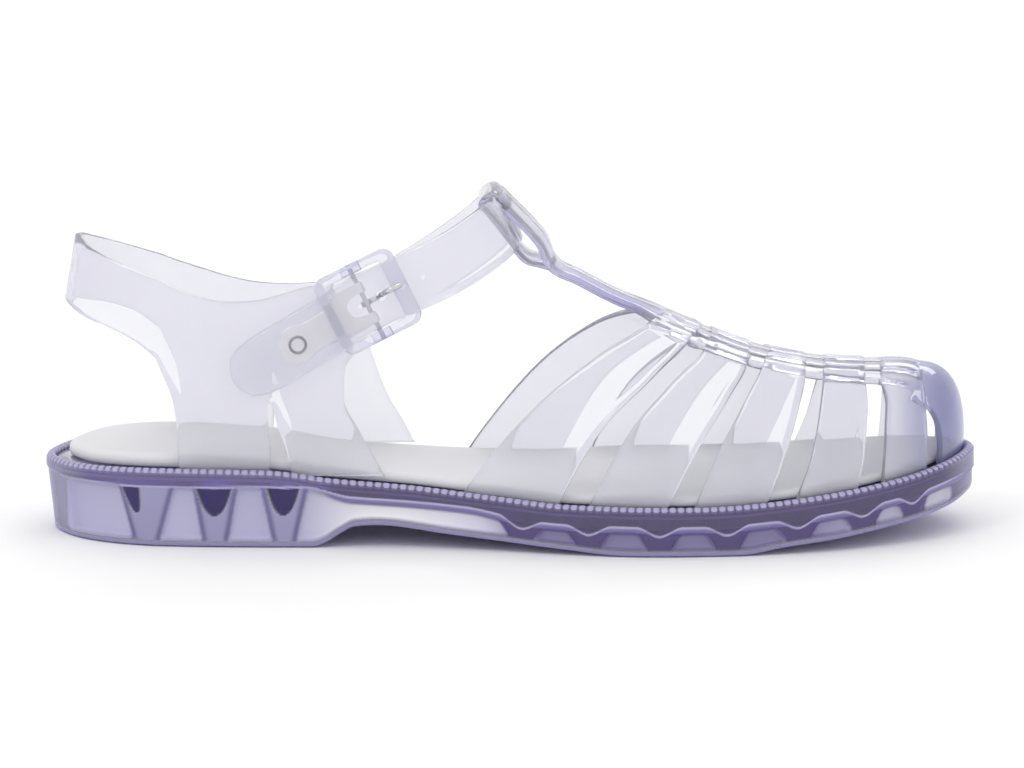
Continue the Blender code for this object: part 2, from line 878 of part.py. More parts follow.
def hole_distances():
    """Distances of the strap's holes from the axle: one behind it, the rest towards the instep."""
    return [(0.3 - k) * HOLE_PITCH for k in range(4)]


def upper(parts, helpers):
    """Everything moulded in one piece: flange, vamp, T-strap, quarters, back and ankle straps."""
    body = flange(parts)
    body.name = "upper"
    pieces = [cross_strap(i, helpers) for i in range(len(CROSS_STRAPS))]
    pieces += [strand(i, helpers) for i in range(STRANDS)]
    pieces.append(toe_band(helpers))
    pieces += [quarter(OUTER, helpers), quarter(INNER, helpers), back_strap(helpers)]
    pieces += [t_strap(helpers), loop_back(helpers), ankle_strap(helpers)]
    joined(body, "UNION", pieces)
    places = [strap_place(distance) for distance in hole_distances()]
    cutters = []
    for k, place in enumerate(places):
        radius = PRONG_HOLE / 2 if k == 1 else STRAP_HOLE / 2
        cutters.append(strap_hole(f"strap_hole_{k + 1}", place, radius, helpers))
    joined(body, "DIFFERENCE", cutters)
    return body


def window_limits():
    """For each window of the side: its rear and front edges, at the band and at the foot."""
    edges = [(along_x(0) + HEEL_WINDOW_END, along_x(0) + HEEL_WINDOW_END)]
    for along, top, foot in PILLARS:
        x = along_x(along)
        edges.append((x - top / 2, x - foot / 2))
        edges.append((x + top / 2, x + foot / 2))
    edges.append((along_x(1) - TOE_WINDOW_END, along_x(1) - TOE_WINDOW_END))
    return [(edges[k], edges[k + 1]) for k in range(0, len(edges), 2)]


def band_edge(x):
    """Height of the dark band's lower edge."""
    heel = HEEL_STACK - HEEL_BAND_HEIGHT
    waist = rim_height(x) - 0.0072
    front = rim_height(x) - BAND_HEIGHT
    share = share_of(x)
    return blend(blend(heel, waist, ease(0.27, 0.33, share)), front, ease(0.45, 0.52, share))


def side_columns():
    """Columns of the sole's side: place at the band, place at the foot, recessed or not."""
    lip = WINDOW_LIP
    columns = [(along_x(s), along_x(s), False) for s in (0.0, 0.003, 0.011)]
    for rear, front in window_limits():
        span = front[0] - rear[0]
        inner = max(1, round(span / 0.0095))
        columns.append((rear[0], rear[1], False))
        columns.append((rear[0] + lip, rear[1] + lip, True))
        for k in range(1, inner + 1):
            share = k / (inner + 1)
            low = blend(rear[0] + lip, front[0] - lip, share)
            columns.append((low, blend(rear[1] + lip, front[1] - lip, share), True))
        columns.append((front[0] - lip, front[1] - lip, True))
        columns.append((front[0], front[1], False))
    columns += [(along_x(s), along_x(s), False) for s in (0.986, 0.995, 1.0)]
    return columns


def rim_stations():
    """The same columns along the rim, without those at the lips of the windows."""
    stations = [column[0] for column in side_columns()]
    kept = stations[:1]
    for x in stations[1:-1]:
        if x - kept[-1] > 1.5 * WINDOW_LIP:
            kept.append(x)
    return kept + stations[-1:]


def taper(x):
    return HEEL_TAPER * (1 - ease(0.02, 0.30, share_of(x)))


def sole_rows():
    """Rows of the sole's section: inset in a window, inset beside it, height, share to the foot."""

    def plate(x):
        return underside(x) + PLATE_HEIGHT

    deep = WINDOW_DEPTH
    seat = BEAD_WIDTH
    rail = STRAP_INSET - WALL / 2 + FLANGE_WIDTH + 3 * CLEARANCE
    return (
        (0.0032, 0.0032, underside, 1.0, 1.0),
        (0.0008, 0.0008, lambda x: underside(x) + 0.0005, 1.0, 1.0),
        (0.0005, 0.0005, plate, 1.0, 1.0),
        (deep, 0.0005, lambda x: plate(x) + 0.0002, 1.0, 0.85),
        (deep, 0.0005, lambda x: band_edge(x) - 0.0008, 0.0, 0.15),
        (0.0005, 0.0005, lambda x: band_edge(x) - 0.0002, 0.0, 0.1),
        (0.0, 0.0, lambda x: band_edge(x) + 0.0003, 0.0, 0.1),
        (0.0, 0.0, lambda x: rim_height(x) - 0.0024, 0.0, 0.0),
        (-0.0002, -0.0002, lambda x: rim_height(x) - 0.0016, 0.0, 0.0),
        (0.0001, 0.0001, lambda x: rim_height(x) - 0.0005, 0.0, 0.0),
        (0.0010, 0.0010, rim_height, 0.0, 0.0),
        (seat, seat, lambda x: rim_height(x) - BEAD_STEP, 0.0, 0.0),
        (seat, seat, lambda x: rim_height(x) - SEAT_DEPTH, 0.0, 0.0),
        (rail, rail, lambda x: rim_height(x) - SEAT_DEPTH, 0.0, 0.0),
        (rail, rail, lambda x: rim_height(x) - FLANGE_DROP, 0.0, 0.0),
    )


def outsole(parts):
    """The moulded sole: plate, recessed windows, pillars, band, bead, seat and raised middle."""
    columns = side_columns()
    rings = []
    for deep, proud, height, to_foot, tapered in sole_rows():
        ring = []
        for side, order in ((OUTER, columns), (INNER, columns[-2:0:-1])):
            for at_band, at_foot, recessed in order:
                x = blend(at_band, at_foot, to_foot)
                inset = (deep if recessed else proud) + taper(x) * tapered
                point = rim_point(side, x, inset)
                ring.append(Vector((point.x, point.y, height(point.x))))
        rings.append(ring)
    return stacked("outsole", rings, parts)


def insole(parts):
    """The padded sock, inset from the straps, a little higher at the heel."""

    def base(x):
        return rim_height(x) - FLANGE_DROP + CLEARANCE

    def top(x):
        return base(x) + INSOLE_THICKNESS + 0.0011 * (1 - ease(0.12, 0.42, share_of(x)))

    edge = INSOLE_INSET
    rings = [
        outline_ring(edge + 0.0004, base),
        outline_ring(edge, lambda x: blend(base(x), top(x), 0.3)),
        outline_ring(edge + 0.0001, lambda x: blend(base(x), top(x), 0.72)),
        outline_ring(edge + INSOLE_EDGE, lambda x: blend(base(x), top(x), 0.97)),
        outline_ring(edge + 3.5 * INSOLE_EDGE, top),
    ]
    return stacked("insole", rings, parts)


def buckle_axes():
    """Centre of the axle, and the ways along the strap to its free end, across it and outwards."""
    middle = ankle_middle(AXLE_PLACE)
    width = (ankle_point(AXLE_PLACE, 0.004) - ankle_point(AXLE_PLACE, -0.004)).normalized()
    run = ankle_middle(AXLE_PLACE + 0.2) - ankle_middle(AXLE_PLACE - 0.2)
    run = (run - width * run.dot(width)).normalized()
    normal = run.cross(width)
    return (middle, run, width, normal) if normal.y < 0 else (middle, run, width, -normal)


def placed(points):
    """Buckle positions (along to the free end, across, out from the strap's middle) in space."""
    middle, run, width, normal = buckle_axes()
    return [middle + run * a + width * b + normal * c for a, b, c in points]


STRAP_FACE = WALL / 2 + CLEARANCE
AXLE_OUT = -(STRAP_FACE + AXLE_RADIUS + CLEARANCE + KNUCKLE_WALL + CLEARANCE)
PLATE_OUT = -(STRAP_FACE + PLATE_THICKNESS / 2)


def plate_half(along):
    """Half the plate's width at this distance from the axle: wide, a neck, a round end."""
    past = along - PLATE_REACH
    if past > -0.6 * PLATE_END_RADIUS:
        return math.sqrt(max(PLATE_END_RADIUS**2 - past**2, 0.0004**2))
    neck = ease(0.0085, 0.0120, along)
    end = ease(PLATE_REACH - 2 * PLATE_END_RADIUS, PLATE_REACH - 0.6 * PLATE_END_RADIUS, along)
    return blend(blend(PLATE_WIDTH / 2, PLATE_NECK / 2, neck), 0.8 * PLATE_END_RADIUS, end)


def extruded(name, outline, low, high, collection):
    """A closed prism in the buckle's axes from an outline of (along, across)."""
    count = len(outline)
    points = placed([(a, b, low) for a, b in outline] + [(a, b, high) for a, b in outline])
    faces = [tuple(range(count)), tuple(range(2 * count - 1, count - 1, -1))]
    for i in range(count):
        j = (i + 1) % count
        faces.append((i, j, count + j, count + i))
    return new_object(name, mesh_from(name, points, faces), collection)


def across_tube(name, along, out, outer, inner, low, high, collection, sides=14):
    """A tube, or with no inner radius a pin, lying across the strap."""
    points = []
    for b in (low, high):
        for radius in (outer, inner) if inner else (outer,):
            for k in range(sides):
                angle = 2 * math.pi * k / sides
                points.append((along + radius * math.cos(angle), b, out + radius * math.sin(angle)))
    faces = []
    rings = 2 if inner else 1
    for k in range(sides):
        j = (k + 1) % sides
        far = rings * sides
        faces.append((k, j, far + j, far + k))
        if inner:
            faces.append((sides + k, sides + j, far + sides + j, far + sides + k))
            faces.append((k, j, sides + j, sides + k))
            faces.append((far + k, far + j, far + sides + j, far + sides + k))
    if not inner:
        faces.append(tuple(range(sides)))
        faces.append(tuple(range(sides, 2 * sides)))
    return new_object(name, mesh_from(name, placed(points), faces), collection)


def buckle_plate(parts, helpers):
    """The plate with two rolled knuckles, cut for the prong and the rivet."""
    start, end = 0.0022, PLATE_REACH + 0.985 * PLATE_END_RADIUS
    grid = []
    for k in range(17):
        along = blend(start, end, math.sin(k / 16 * math.pi / 2))
        half = plate_half(along)
        place = strap_place(along)
        grid.append([ankle_point(place, half * side, PLATE_OUT) for side in (-1, -0.5, 0.01, 0.5, 1)])
    plate = sheet("buckle_plate", grid, parts, thickness=PLATE_THICKNESS, even=False)
    bore = AXLE_RADIUS + CLEARANCE
    radius = bore + KNUCKLE_WALL
    pieces = []
    for name, side in (("rear_knuckle", -1), ("front_knuckle", 1)):
        low, high = sorted((side * (PLATE_WIDTH / 2 - KNUCKLE_WIDTH), side * PLATE_WIDTH / 2))
        pieces.append(across_tube(name, 0, AXLE_OUT, radius, bore, low, high, helpers))
        inside = (low + 0.0002, high - 0.0002)
        tab = [(0.0032, inside[0]), (0.0032, inside[1]), (0.0004, inside[1]), (0.0004, inside[0])]
        face = PLATE_OUT - 0.0001
        thick = 0.4 * PLATE_THICKNESS
        pieces.append(extruded(name + "_tab", tab, face - thick, face + thick, helpers))
    joined(plate, "UNION", pieces)
    notch = [(0.0, -NOTCH_WIDTH / 2), (0.0, NOTCH_WIDTH / 2)]
    for k in range(1, 8):
        angle = math.pi * (0.5 - k / 8)
        notch.append((0.0028 + NOTCH_WIDTH / 2 * math.cos(angle), NOTCH_WIDTH / 2 * math.sin(angle)))
    cuts = [
        extruded("prong_notch", notch, PLATE_OUT - 0.003, PLATE_OUT + 0.003, helpers),
        rivet_peg("rivet_hole", RIVET_BORE + RIVET_HEAD + CLEARANCE, helpers),
    ]
    joined(plate, "DIFFERENCE", cuts)
    return plate


def rivet_axes():
    """Middle of the strap above the rivet, and two ways along the plate and one out of it."""
    place = strap_place(PLATE_REACH)
    middle = ankle_point(place, 0.0001)
    along = (ankle_middle(place + 0.1) - ankle_middle(place - 0.1)).normalized()
    out = (ankle_point(place, 0.0001, WALL) - middle).normalized()
    return middle, along, out.cross(along).normalized(), out


def rivet_circle(radius, out, sides=20):
    middle, along, across, normal = rivet_axes()
    points = []
    for k in range(sides):
        angle = 2 * math.pi * k / sides
        points.append(middle + along * radius * math.cos(angle) + across * radius * math.sin(angle) + normal * out)
    return points


def rivet_peg(name, radius, collection):
    """A solid peg through the plate."""
    reach = 0.0016
    low = rivet_circle(radius, PLATE_OUT - reach)
    high = rivet_circle(radius, PLATE_OUT + reach)
    return new_object(name, mesh_from(name, low + high, tube_faces(len(low), (0, 1), True)), collection)


def tube_faces(sides, rings, capped):
    """Faces between rings of this many sides, in turn; capped closes both ends, else the last joins the first."""
    faces = []
    pairs = list(zip(rings, rings[1:])) + ([] if capped else [(rings[-1], rings[0])])
    for low, high in pairs:
        for k in range(sides):
            j = (k + 1) % sides
            faces.append((low * sides + k, low * sides + j, high * sides + j, high * sides + k))
    if capped:
        faces.append(tuple(range(rings[0] * sides, (rings[0] + 1) * sides)))
        faces.append(tuple(range(rings[-1] * sides, (rings[-1] + 1) * sides)))
    return faces


def rivet(parts):
    """The hollow rivet: a sleeve through the plate under a flat ring."""
    bottom = PLATE_OUT - PLATE_THICKNESS / 2
    head = PLATE_OUT + PLATE_THICKNESS / 2
    sleeve = RIVET_BORE + RIVET_HEAD
    points = rivet_circle(RIVET_BORE, bottom) + rivet_circle(sleeve, bottom)
    points += rivet_circle(sleeve, head) + rivet_circle(RIVET_BORE, head)
    mesh = mesh_from("rivet", points, tube_faces(20, (0, 1, 2, 3), False))
    return new_object("rivet", mesh, parts)


def buckle_frame(parts, helpers):
    """The clear frame: two bars across the strap, joined by rails beside it."""
    low = WALL / 2 + 2 * CLEARANCE
    high = low + FRAME_THICKNESS
    outer_rear = FRAME_REACH + REAR_BAR / 2
    outer_front = FRAME_REACH + FRONT_BAR / 2
    half = FRAME_WIDTH / 2
    inner = ANKLE_STRAP_WIDTH / 2 + 2 * CLEARANCE
    corner = 0.003

    def loop(rear, front, reach, cut):
        return [
            (rear - cut, -reach),
            (rear, -reach + cut),
            (rear, reach - cut),
            (rear - cut, reach),
            (-front + cut, reach),
            (-front, reach - cut),
            (-front, -reach + cut),
            (-front + cut, -reach),
        ]

    outer = loop(outer_rear, outer_front, half, corner)
    hole = loop(FRAME_REACH - REAR_BAR / 2, FRAME_REACH - FRONT_BAR / 2, inner, 0.0012)
    made = extruded("buckle_frame", outer, low, high, parts)
    opening = extruded("frame_opening", hole, low - 0.001, high + 0.001, helpers)
    joined(made, "DIFFERENCE", [opening])
    ears = []
    for name, side in (("rear_ear", -1), ("front_ear", 1)):
        near, far = sorted((side * (inner + 0.0001), side * (half - 0.0001)))
        ear = [(-EAR_LENGTH / 2, near), (-EAR_LENGTH / 2, far), (EAR_LENGTH / 2, far), (EAR_LENGTH / 2, near)]
        ears.append(extruded(name, ear, AXLE_OUT - AXLE_RADIUS - EAR_WALL, low + 0.001, helpers))
    joined(made, "UNION", ears)
    bore = across_tube(
        "axle_bore", 0, AXLE_OUT, AXLE_RADIUS + CLEARANCE, 0, EAR_WALL - half, half - EAR_WALL, helpers
    )
    joined(made, "DIFFERENCE", [bore])
    return made


def buckle_axle(parts):
    reach = FRAME_WIDTH / 2 - EAR_WALL - CLEARANCE
    return across_tube("buckle_axle", 0, AXLE_OUT, AXLE_RADIUS, 0, -reach, reach, parts)


def buckle_prong(parts, helpers):
    """The prong: an eye round the axle, up through the strap and flat over the front bar."""
    bore = AXLE_RADIUS + CLEARANCE
    half = 0.0009
    made = across_tube("buckle_prong", 0, AXLE_OUT, bore + 0.0006, bore, -half, half, parts)
    hole = -(0.7 * HOLE_PITCH)
    top = WALL / 2 + 2 * CLEARANCE + FRAME_THICKNESS + CLEARANCE + PRONG_RADIUS
    tip = -(FRAME_REACH + 0.2 * FRONT_BAR)
    path = [
        (-0.0011, AXLE_OUT - 0.0001),
        (hole + 0.0009, AXLE_OUT + 0.0001),
        (hole, -0.0004),
        (hole - 0.0004, WALL / 2 + 0.0009),
        (hole - 0.0025, top),
        (tip, top),
    ]
    outline = []
    thick = PRONG_RADIUS
    for k, (a, c) in enumerate(path):
        before = Vector(path[max(k - 1, 0)])
        after = Vector(path[min(k + 1, len(path) - 1)])
        run = (after - before).normalized()
        outline.append((Vector((a, c)), Vector((-run.y, run.x)) * thick))
    points = []
    for centre, side in outline:
        for b, sign in ((-half, 1), (half, 1), (half, -1), (-half, -1)):
            points.append((centre.x + side.x * sign, b, centre.y + side.y * sign))
    rows = len(outline)
    faces = [(0, 1, 2, 3), tuple(4 * (rows - 1) + k for k in (3, 2, 1, 0))]
    for r in range(rows - 1):
        for k in range(4):
            j = (k + 1) % 4
            faces.append((4 * r + k, 4 * r + j, 4 * r + 4 + j, 4 * r + 4 + k))
    tongue = new_object("prong_tongue", mesh_from("prong_tongue", placed(points), faces), helpers)
    joined(made, "UNION", [tongue])
    return made


def finish(made, colour, roughness, metallic=0.0, transmission=0.0):
    """One Principled material of its own for this piece."""
    material = bpy.data.materials.new(made.name)
    material.use_nodes = True
    shader = material.node_tree.nodes["Principled BSDF"]
    shader.inputs["Base Color"].default_value = (*colour, 1.0)
    shader.inputs["Roughness"].default_value = roughness
    shader.inputs["Metallic"].default_value = metallic
    shader.inputs["Transmission Weight"].default_value = transmission
    made.data.materials.append(material)


def main():
    for old in list(bpy.data.objects):
        bpy.data.objects.remove(old)
    scene = bpy.context.scene.collection
    parts = bpy.data.collections.new("jelly_sandal")
    helpers = bpy.data.collections.new("helpers")
    scene.children.link(parts)
    scene.children.link(helpers)
    finish(outsole(parts), (0.25, 0.19, 0.52), 0.12, transmission=0.7)
    finish(upper(parts, helpers), (0.80, 0.80, 0.93), 0.10, transmission=0.9)
    finish(insole(parts), (0.75, 0.75, 0.77), 0.7)
    finish(buckle_plate(parts, helpers), (0.75, 0.74, 0.72), 0.25, metallic=1.0)
    finish(buckle_frame(parts, helpers), (0.85, 0.85, 0.92), 0.08, transmission=0.9)
    finish(buckle_axle(parts), (0.70, 0.70, 0.70), 0.25, metallic=1.0)
    finish(buckle_prong(parts, helpers), (0.80, 0.80, 0.80), 0.15, metallic=1.0)
    finish(rivet(parts), (0.78, 0.78, 0.78), 0.2, metallic=1.0)
    for helper in helpers.objects:
        helper.hide_render = True
        helper.display_type = "WIRE"


main()
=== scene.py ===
import bisect
import math

import bmesh
import bpy
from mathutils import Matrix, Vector
from mathutils.geometry import delaunay_2d_cdt
from mathutils.kdtree import KDTree


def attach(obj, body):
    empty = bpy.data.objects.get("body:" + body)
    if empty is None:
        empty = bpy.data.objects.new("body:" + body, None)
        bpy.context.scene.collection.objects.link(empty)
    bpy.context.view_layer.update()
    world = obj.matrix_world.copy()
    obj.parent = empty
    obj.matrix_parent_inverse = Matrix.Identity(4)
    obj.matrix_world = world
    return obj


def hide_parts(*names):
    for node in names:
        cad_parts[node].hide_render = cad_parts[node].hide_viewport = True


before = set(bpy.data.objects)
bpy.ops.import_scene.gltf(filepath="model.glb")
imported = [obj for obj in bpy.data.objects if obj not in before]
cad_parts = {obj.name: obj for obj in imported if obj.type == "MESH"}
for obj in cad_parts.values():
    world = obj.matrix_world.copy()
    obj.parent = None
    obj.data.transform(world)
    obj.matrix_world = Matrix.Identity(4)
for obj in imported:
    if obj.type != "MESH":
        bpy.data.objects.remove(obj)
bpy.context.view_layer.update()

# Driving sizes, in metres
LENGTH = 0.264
BALL_WIDTH = 0.0925
HEEL_WIDTH = 0.0655
HEEL_STACK = 0.0226
BALL_STACK = 0.0141
TOE_STACK = 0.023
TOE_SPRING = 0.0107
BREAST_RISE = 0.0063
INSTEP_HEIGHT = 0.0635
TOE_BOX_HEIGHT = 0.047
COLLAR_HEIGHT = 0.0845
COLLAR_WIDTH = 0.041
LEAN = 1.5
LEAN_LIMIT = 0.9 * LEAN
WALL = 0.002
CLEARANCE = 0.0003

# Sole side and seat, in metres
BEAD_WIDTH = 0.0027
BEAD_STEP = 0.0011
SEAT_DEPTH = 0.0036
FLANGE_WIDTH = 0.006
FLANGE_DROP = 0.0013
WINDOW_DEPTH = 0.002
PLATE_HEIGHT = 0.0015
BAND_HEIGHT = 0.007
HEEL_BAND_HEIGHT = 0.0052
HEEL_TAPER = 0.0018
WINDOW_CORNER = 0.0016
POST_DEPTH = 0.0005
TOE_WINDOW_END = 0.0065
HEEL_WINDOW_END = 0.0062
INSOLE_INSET = 0.0066
INSOLE_THICKNESS = 0.0029

# Straps, in metres
STRAND_PITCH = 0.0058
STRAND_GAP = 0.001
RELIEF = 0.0005
TOE_BULGE = 0.0012
T_STRAP_WIDTH = 0.017
LOOP_WIDTH = 0.021
ANKLE_STRAP_WIDTH = 0.0165
STRAP_STEP = 0.0006
STRAP_HOLE = 0.0015
PRONG_HOLE = 0.0031
HOLE_PITCH = 0.0065

# Buckle, in metres, along the strap from the axle
PLATE_THICKNESS = 0.0008
PLATE_REACH = 0.0228
PLATE_END_RADIUS = 0.0055
PLATE_WIDTH = 0.0125
PLATE_NECK = 0.0086
NOTCH_WIDTH = 0.0058
RIVET_RADIUS = 0.0027
RIVET_BORE = 0.0018
FRAME_REACH = 0.0105
FRAME_WIDTH = 0.0235
REAR_BAR = 0.0028
FRONT_BAR = 0.0046
FRAME_THICKNESS = 0.0024
EAR_LENGTH = 0.006
EAR_WALL = 0.0008
AXLE_RADIUS = 0.0007
KNUCKLE_WALL = 0.0006
KNUCKLE_WIDTH = 0.0032
PRONG_RADIUS = 0.0007

# Outline of the sole from the heel tip round the outer side: share of the length from the heel tip,
# share of the local width from the centre line, minus on the outer side
OUTLINE = (
    (0.000, 0.000),
    (0.015, -0.205),
    (0.045, -0.355),
    (0.091, -0.455),
    (0.140, -0.492),
    (0.216, -0.500),
    (0.292, -0.498),
    (0.386, -0.475),
    (0.481, -0.468),
    (0.557, -0.482),
    (0.633, -0.502),
    (0.708, -0.497),
    (0.784, -0.465),
    (0.860, -0.395),
    (0.917, -0.305),
    (0.955, -0.215),
    (0.985, -0.095),
    (1.000, 0.055),
    (0.989, 0.185),
    (0.962, 0.285),
    (0.917, 0.380),
    (0.860, 0.443),
    (0.784, 0.487),
    (0.690, 0.497),
    (0.614, 0.470),
    (0.538, 0.425),
    (0.462, 0.375),
    (0.386, 0.360),
    (0.311, 0.375),
    (0.235, 0.425),
    (0.159, 0.470),
    (0.102, 0.462),
    (0.053, 0.385),
    (0.019, 0.225),
)

# Height of the rim: share of the length, height
RIM = (
    (0.00, 0.955 * HEEL_STACK),
    (0.05, 0.980 * HEEL_STACK),
    (0.12, HEEL_STACK),
    (0.24, 0.977 * HEEL_STACK),
    (0.31, 0.875 * HEEL_STACK),
    (0.40, 0.790 * HEEL_STACK),
    (0.48, 1.130 * BALL_STACK),
    (0.56, 1.020 * BALL_STACK),
    (0.70, BALL_STACK),
    (0.80, 1.100 * BALL_STACK),
    (0.92, 0.830 * TOE_STACK),
    (1.00, TOE_STACK),
)

# Height of the underside: share of the length, height
UNDERSIDE = (
    (0.000, 0.0),
    (0.288, 0.0),
    (0.300, 0.16 * BREAST_RISE),
    (0.318, 0.62 * BREAST_RISE),
    (0.333, 0.93 * BREAST_RISE),
    (0.355, BREAST_RISE),
    (0.432, 0.67 * BREAST_RISE),
    (0.500, 0.41 * BREAST_RISE),
    (0.560, 0.20 * BREAST_RISE),
    (0.625, 0.0),
    (0.745, 0.0),
    (0.795, 0.17 * TOE_SPRING),
    (0.845, 0.29 * TOE_SPRING),
    (0.898, 0.46 * TOE_SPRING),
    (0.947, 0.64 * TOE_SPRING),
    (0.973, 0.77 * TOE_SPRING),
    (1.000, TOE_SPRING),
)

# Pillars of the sole's side: share of the length, width at the band, width at the foot
PILLARS = (
    (0.110, 0.0150, 0.0066),
    (0.184, 0.0118, 0.0063),
    (0.258, 0.0125, 0.0057),
    (0.511, 0.0115, 0.0052),
    (0.583, 0.0115, 0.0052),
    (0.659, 0.0115, 0.0052),
    (0.732, 0.0115, 0.0052),
    (0.808, 0.0115, 0.0052),
    (0.878, 0.0105, 0.0050),
    (0.932, 0.0080, 0.0045),
)

# Height of the last's ridge, at the outside of the wall: share of the length, height
RIDGE = (
    (0.42, 1.57 * INSTEP_HEIGHT),
    (0.50, 1.32 * INSTEP_HEIGHT),
    (0.57, 1.17 * INSTEP_HEIGHT),
    (0.64, 1.03 * INSTEP_HEIGHT),
    (0.70, 0.925 * INSTEP_HEIGHT),
    (0.755, 0.837 * INSTEP_HEIGHT),
    (0.81, 0.783 * INSTEP_HEIGHT),
    (0.87, 1.020 * TOE_BOX_HEIGHT),
    (0.92, 1.015 * TOE_BOX_HEIGHT),
    (0.95, 0.975 * TOE_BOX_HEIGHT),
    (1.00, 0.800 * TOE_BOX_HEIGHT),
)

# Cross straps, by shares of the length at the rim, a quarter, half and three quarters of the way
# up, and on the ridge: rear edge, then front edge
CROSS_STRAPS = (
    ((0.443, 0.514, 0.586, 0.640, 0.667), (0.545, 0.593, 0.650, 0.688, 0.705)),
    ((0.578, 0.621, 0.670, 0.706, 0.716), (0.665, 0.701, 0.733, 0.754, 0.758)),
    ((0.695, 0.723, 0.750, 0.769, 0.777), (0.775, 0.797, 0.811, 0.818, 0.818)),
    ((0.807, 0.826, 0.834, 0.837, 0.837), (0.877, 0.886, 0.888, 0.884, 0.881)),
    ((0.905, 0.908, 0.908, 0.900, 0.898), (0.957, 0.957, 0.953, 0.947, 0.945)),
)
STRANDS = 5
# Shares of the length: ends of the strands, then the toe band's rear edge at the rim and its top
STRAND_ENDS = (0.672, 0.940)
TOE_BAND = (0.9715, 0.935)

# T-strap along the middle, at the outside of the wall: share of the length, share of the collar's
# height; the last two rows are the loop's bend and its top
T_STRAP = (
    (0.690, 0.708),
    (0.651, 0.762),
    (0.616, 0.806),
    (0.578, 0.868),
    (0.551, 0.915),
    (0.536, 1.010),
    (0.490, 1.160),
)
LOOP_DEPTH = 0.0049

# Side of the quarter, by height: share of the collar's height, then shares of the length at the
# front edge on the outer side, the front edge on the inner side, the slot and the rear edge
QUARTER = (
    (0.235, 0.366, 0.396, 0.2540, 0.146),
    (0.310, 0.352, 0.384, 0.2525, 0.144),
    (0.390, 0.338, 0.369, 0.2465, 0.143),
    (0.490, 0.322, 0.356, 0.2425, 0.138),
    (0.590, 0.323, 0.346, 0.2400, 0.125),
    (0.640, 0.333, 0.342, 0.2380, 0.118),
)
SLOT_WIDTH = 0.0056
SLOT_END = 0.0004
SLOT_STOP = 0.015
SLOT_TOP_ROW = 3

# Top edge of the quarter from front to rear: share of the length, shares of the collar's height on
# the outer and the inner side
COLLAR = (
    (0.310, 0.868, 0.791),
    (0.285, 0.862, 0.787),
    (0.260, 0.840, 0.783),
    (0.228, 0.815, 0.789),
    (0.196, 0.810, 0.810),
    (0.168, 0.827, 0.838),
    (0.140, 0.862, 0.868),
    (0.118, 0.895, 0.895),
)

# Back strap round the heel: share of the way to the heel's middle, lower edge and top edge as
# shares of the collar's height. After it: the strap's start as a share of the length, its reach
# behind that, its lean, its length to the heel's middle, and as shares of the collar's height the
# quarter's foot and the top of its rear edge
BACK_STRAP = (
    (0.00, 0.625, 0.892),
    (0.15, 0.680, 0.913),
    (0.36, 0.720, 0.943),
    (0.60, 0.747, 0.972),
    (0.80, 0.768, 0.992),
    (1.00, 0.778, 1.000),
)
BACK_CENTRE = COLLAR[-1][0] + 0.002
BACK_REACH = 0.0259
BACK_LEAN = 0.0141
BACK_ARC = 0.037
FOOT_SHARE = 0.235
REAR_TOP = 0.600

# Ankle strap's middle line where it lies along the quarters, and where it crosses the instep
# between them: share of the length, share of the collar's height; the arch has the side between,
# as a share of the collar's width
STRAP_ROOT = (
    (0.285, 0.655),
    (0.330, 0.706),
    (0.380, 0.776),
)
STRAP_ARCH = (
    (0.430, 0.510, 0.872),
    (0.470, 0.430, 0.970),
    (0.492, 0.270, 1.043),
    (0.497, 0.000, 1.072),
    (0.492, -0.270, 1.058),
    (0.470, -0.430, 1.010),
    (0.435, -0.520, 0.943),
)
STRAP_TAIL = (
    (0.395, 0.882),
    (0.346, 0.815),
    (0.300, 0.728),
    (0.250, 0.637),
    (0.204, 0.556),
)
BUCKLE_ROW = 1


def curve(rows, at, column=1):
    """Smooth value of a column of the rows where the first column is at, flat past both ends."""
    places = [row[0] for row in rows]
    values = [row[column] for row in rows]
    if places[0] > places[-1]:
        places.reverse()
        values.reverse()
    if at <= places[0]:
        return values[0]
    if at >= places[-1]:
        return values[-1]
    i = max(k for k in range(len(places) - 1) if places[k] <= at)
    slopes = [(values[k + 1] - values[k]) / (places[k + 1] - places[k]) for k in range(len(places) - 1)]

    def tangent(k):
        if k == 0 or k == len(places) - 1:
            return slopes[min(k, len(slopes) - 1)]
        before, after = slopes[k - 1], slopes[k]
        return 0.0 if before * after <= 0 else 2 * before * after / (before + after)

    span = places[i + 1] - places[i]
    t = (at - places[i]) / span
    return (
        (2 * t**3 - 3 * t**2 + 1) * values[i]
        + (t**3 - 2 * t**2 + t) * span * tangent(i)
        + (3 * t**2 - 2 * t**3) * values[i + 1]
        + (t**3 - t**2) * span * tangent(i + 1)
    )


def blend(low, high, share):
    return low + (high - low) * share


def mixed(first, second, share):
    return [blend(a, b, share) for a, b in zip(first, second)]


def shares(count, first=0):
    """Even shares k / count up to 1, with k from first."""
    return [k / count for k in range(first, count + 1)]


def turns(count):
    """Cosine and sine at even steps round a circle."""
    angles = [2 * math.pi * k / count for k in range(count)]
    return [(math.cos(angle), math.sin(angle)) for angle in angles]


def ease(low, high, at):
    """0 below low, 1 above high, smooth between."""
    t = min(max((at - low) / (high - low), 0.0), 1.0)
    return t * t * (3 - 2 * t)


def spline_point(points, at):
    """Point at this place along a Catmull-Rom curve through the points, at counted in points."""
    last = len(points) - 1
    i = min(int(at), last - 1)
    t = at - i
    before = points[max(i - 1, 0)]
    after = points[min(i + 2, last)]
    start, end = points[i], points[i + 1]
    return 0.5 * (
        2 * start
        + (end - before) * t
        + (2 * before - 5 * start + 4 * end - after) * t**2
        + (3 * start - before - 3 * end + after) * t**3
    )


def along_x(share):
    return (share - 0.5) * LENGTH


def share_of(x):
    return x / LENGTH + 0.5


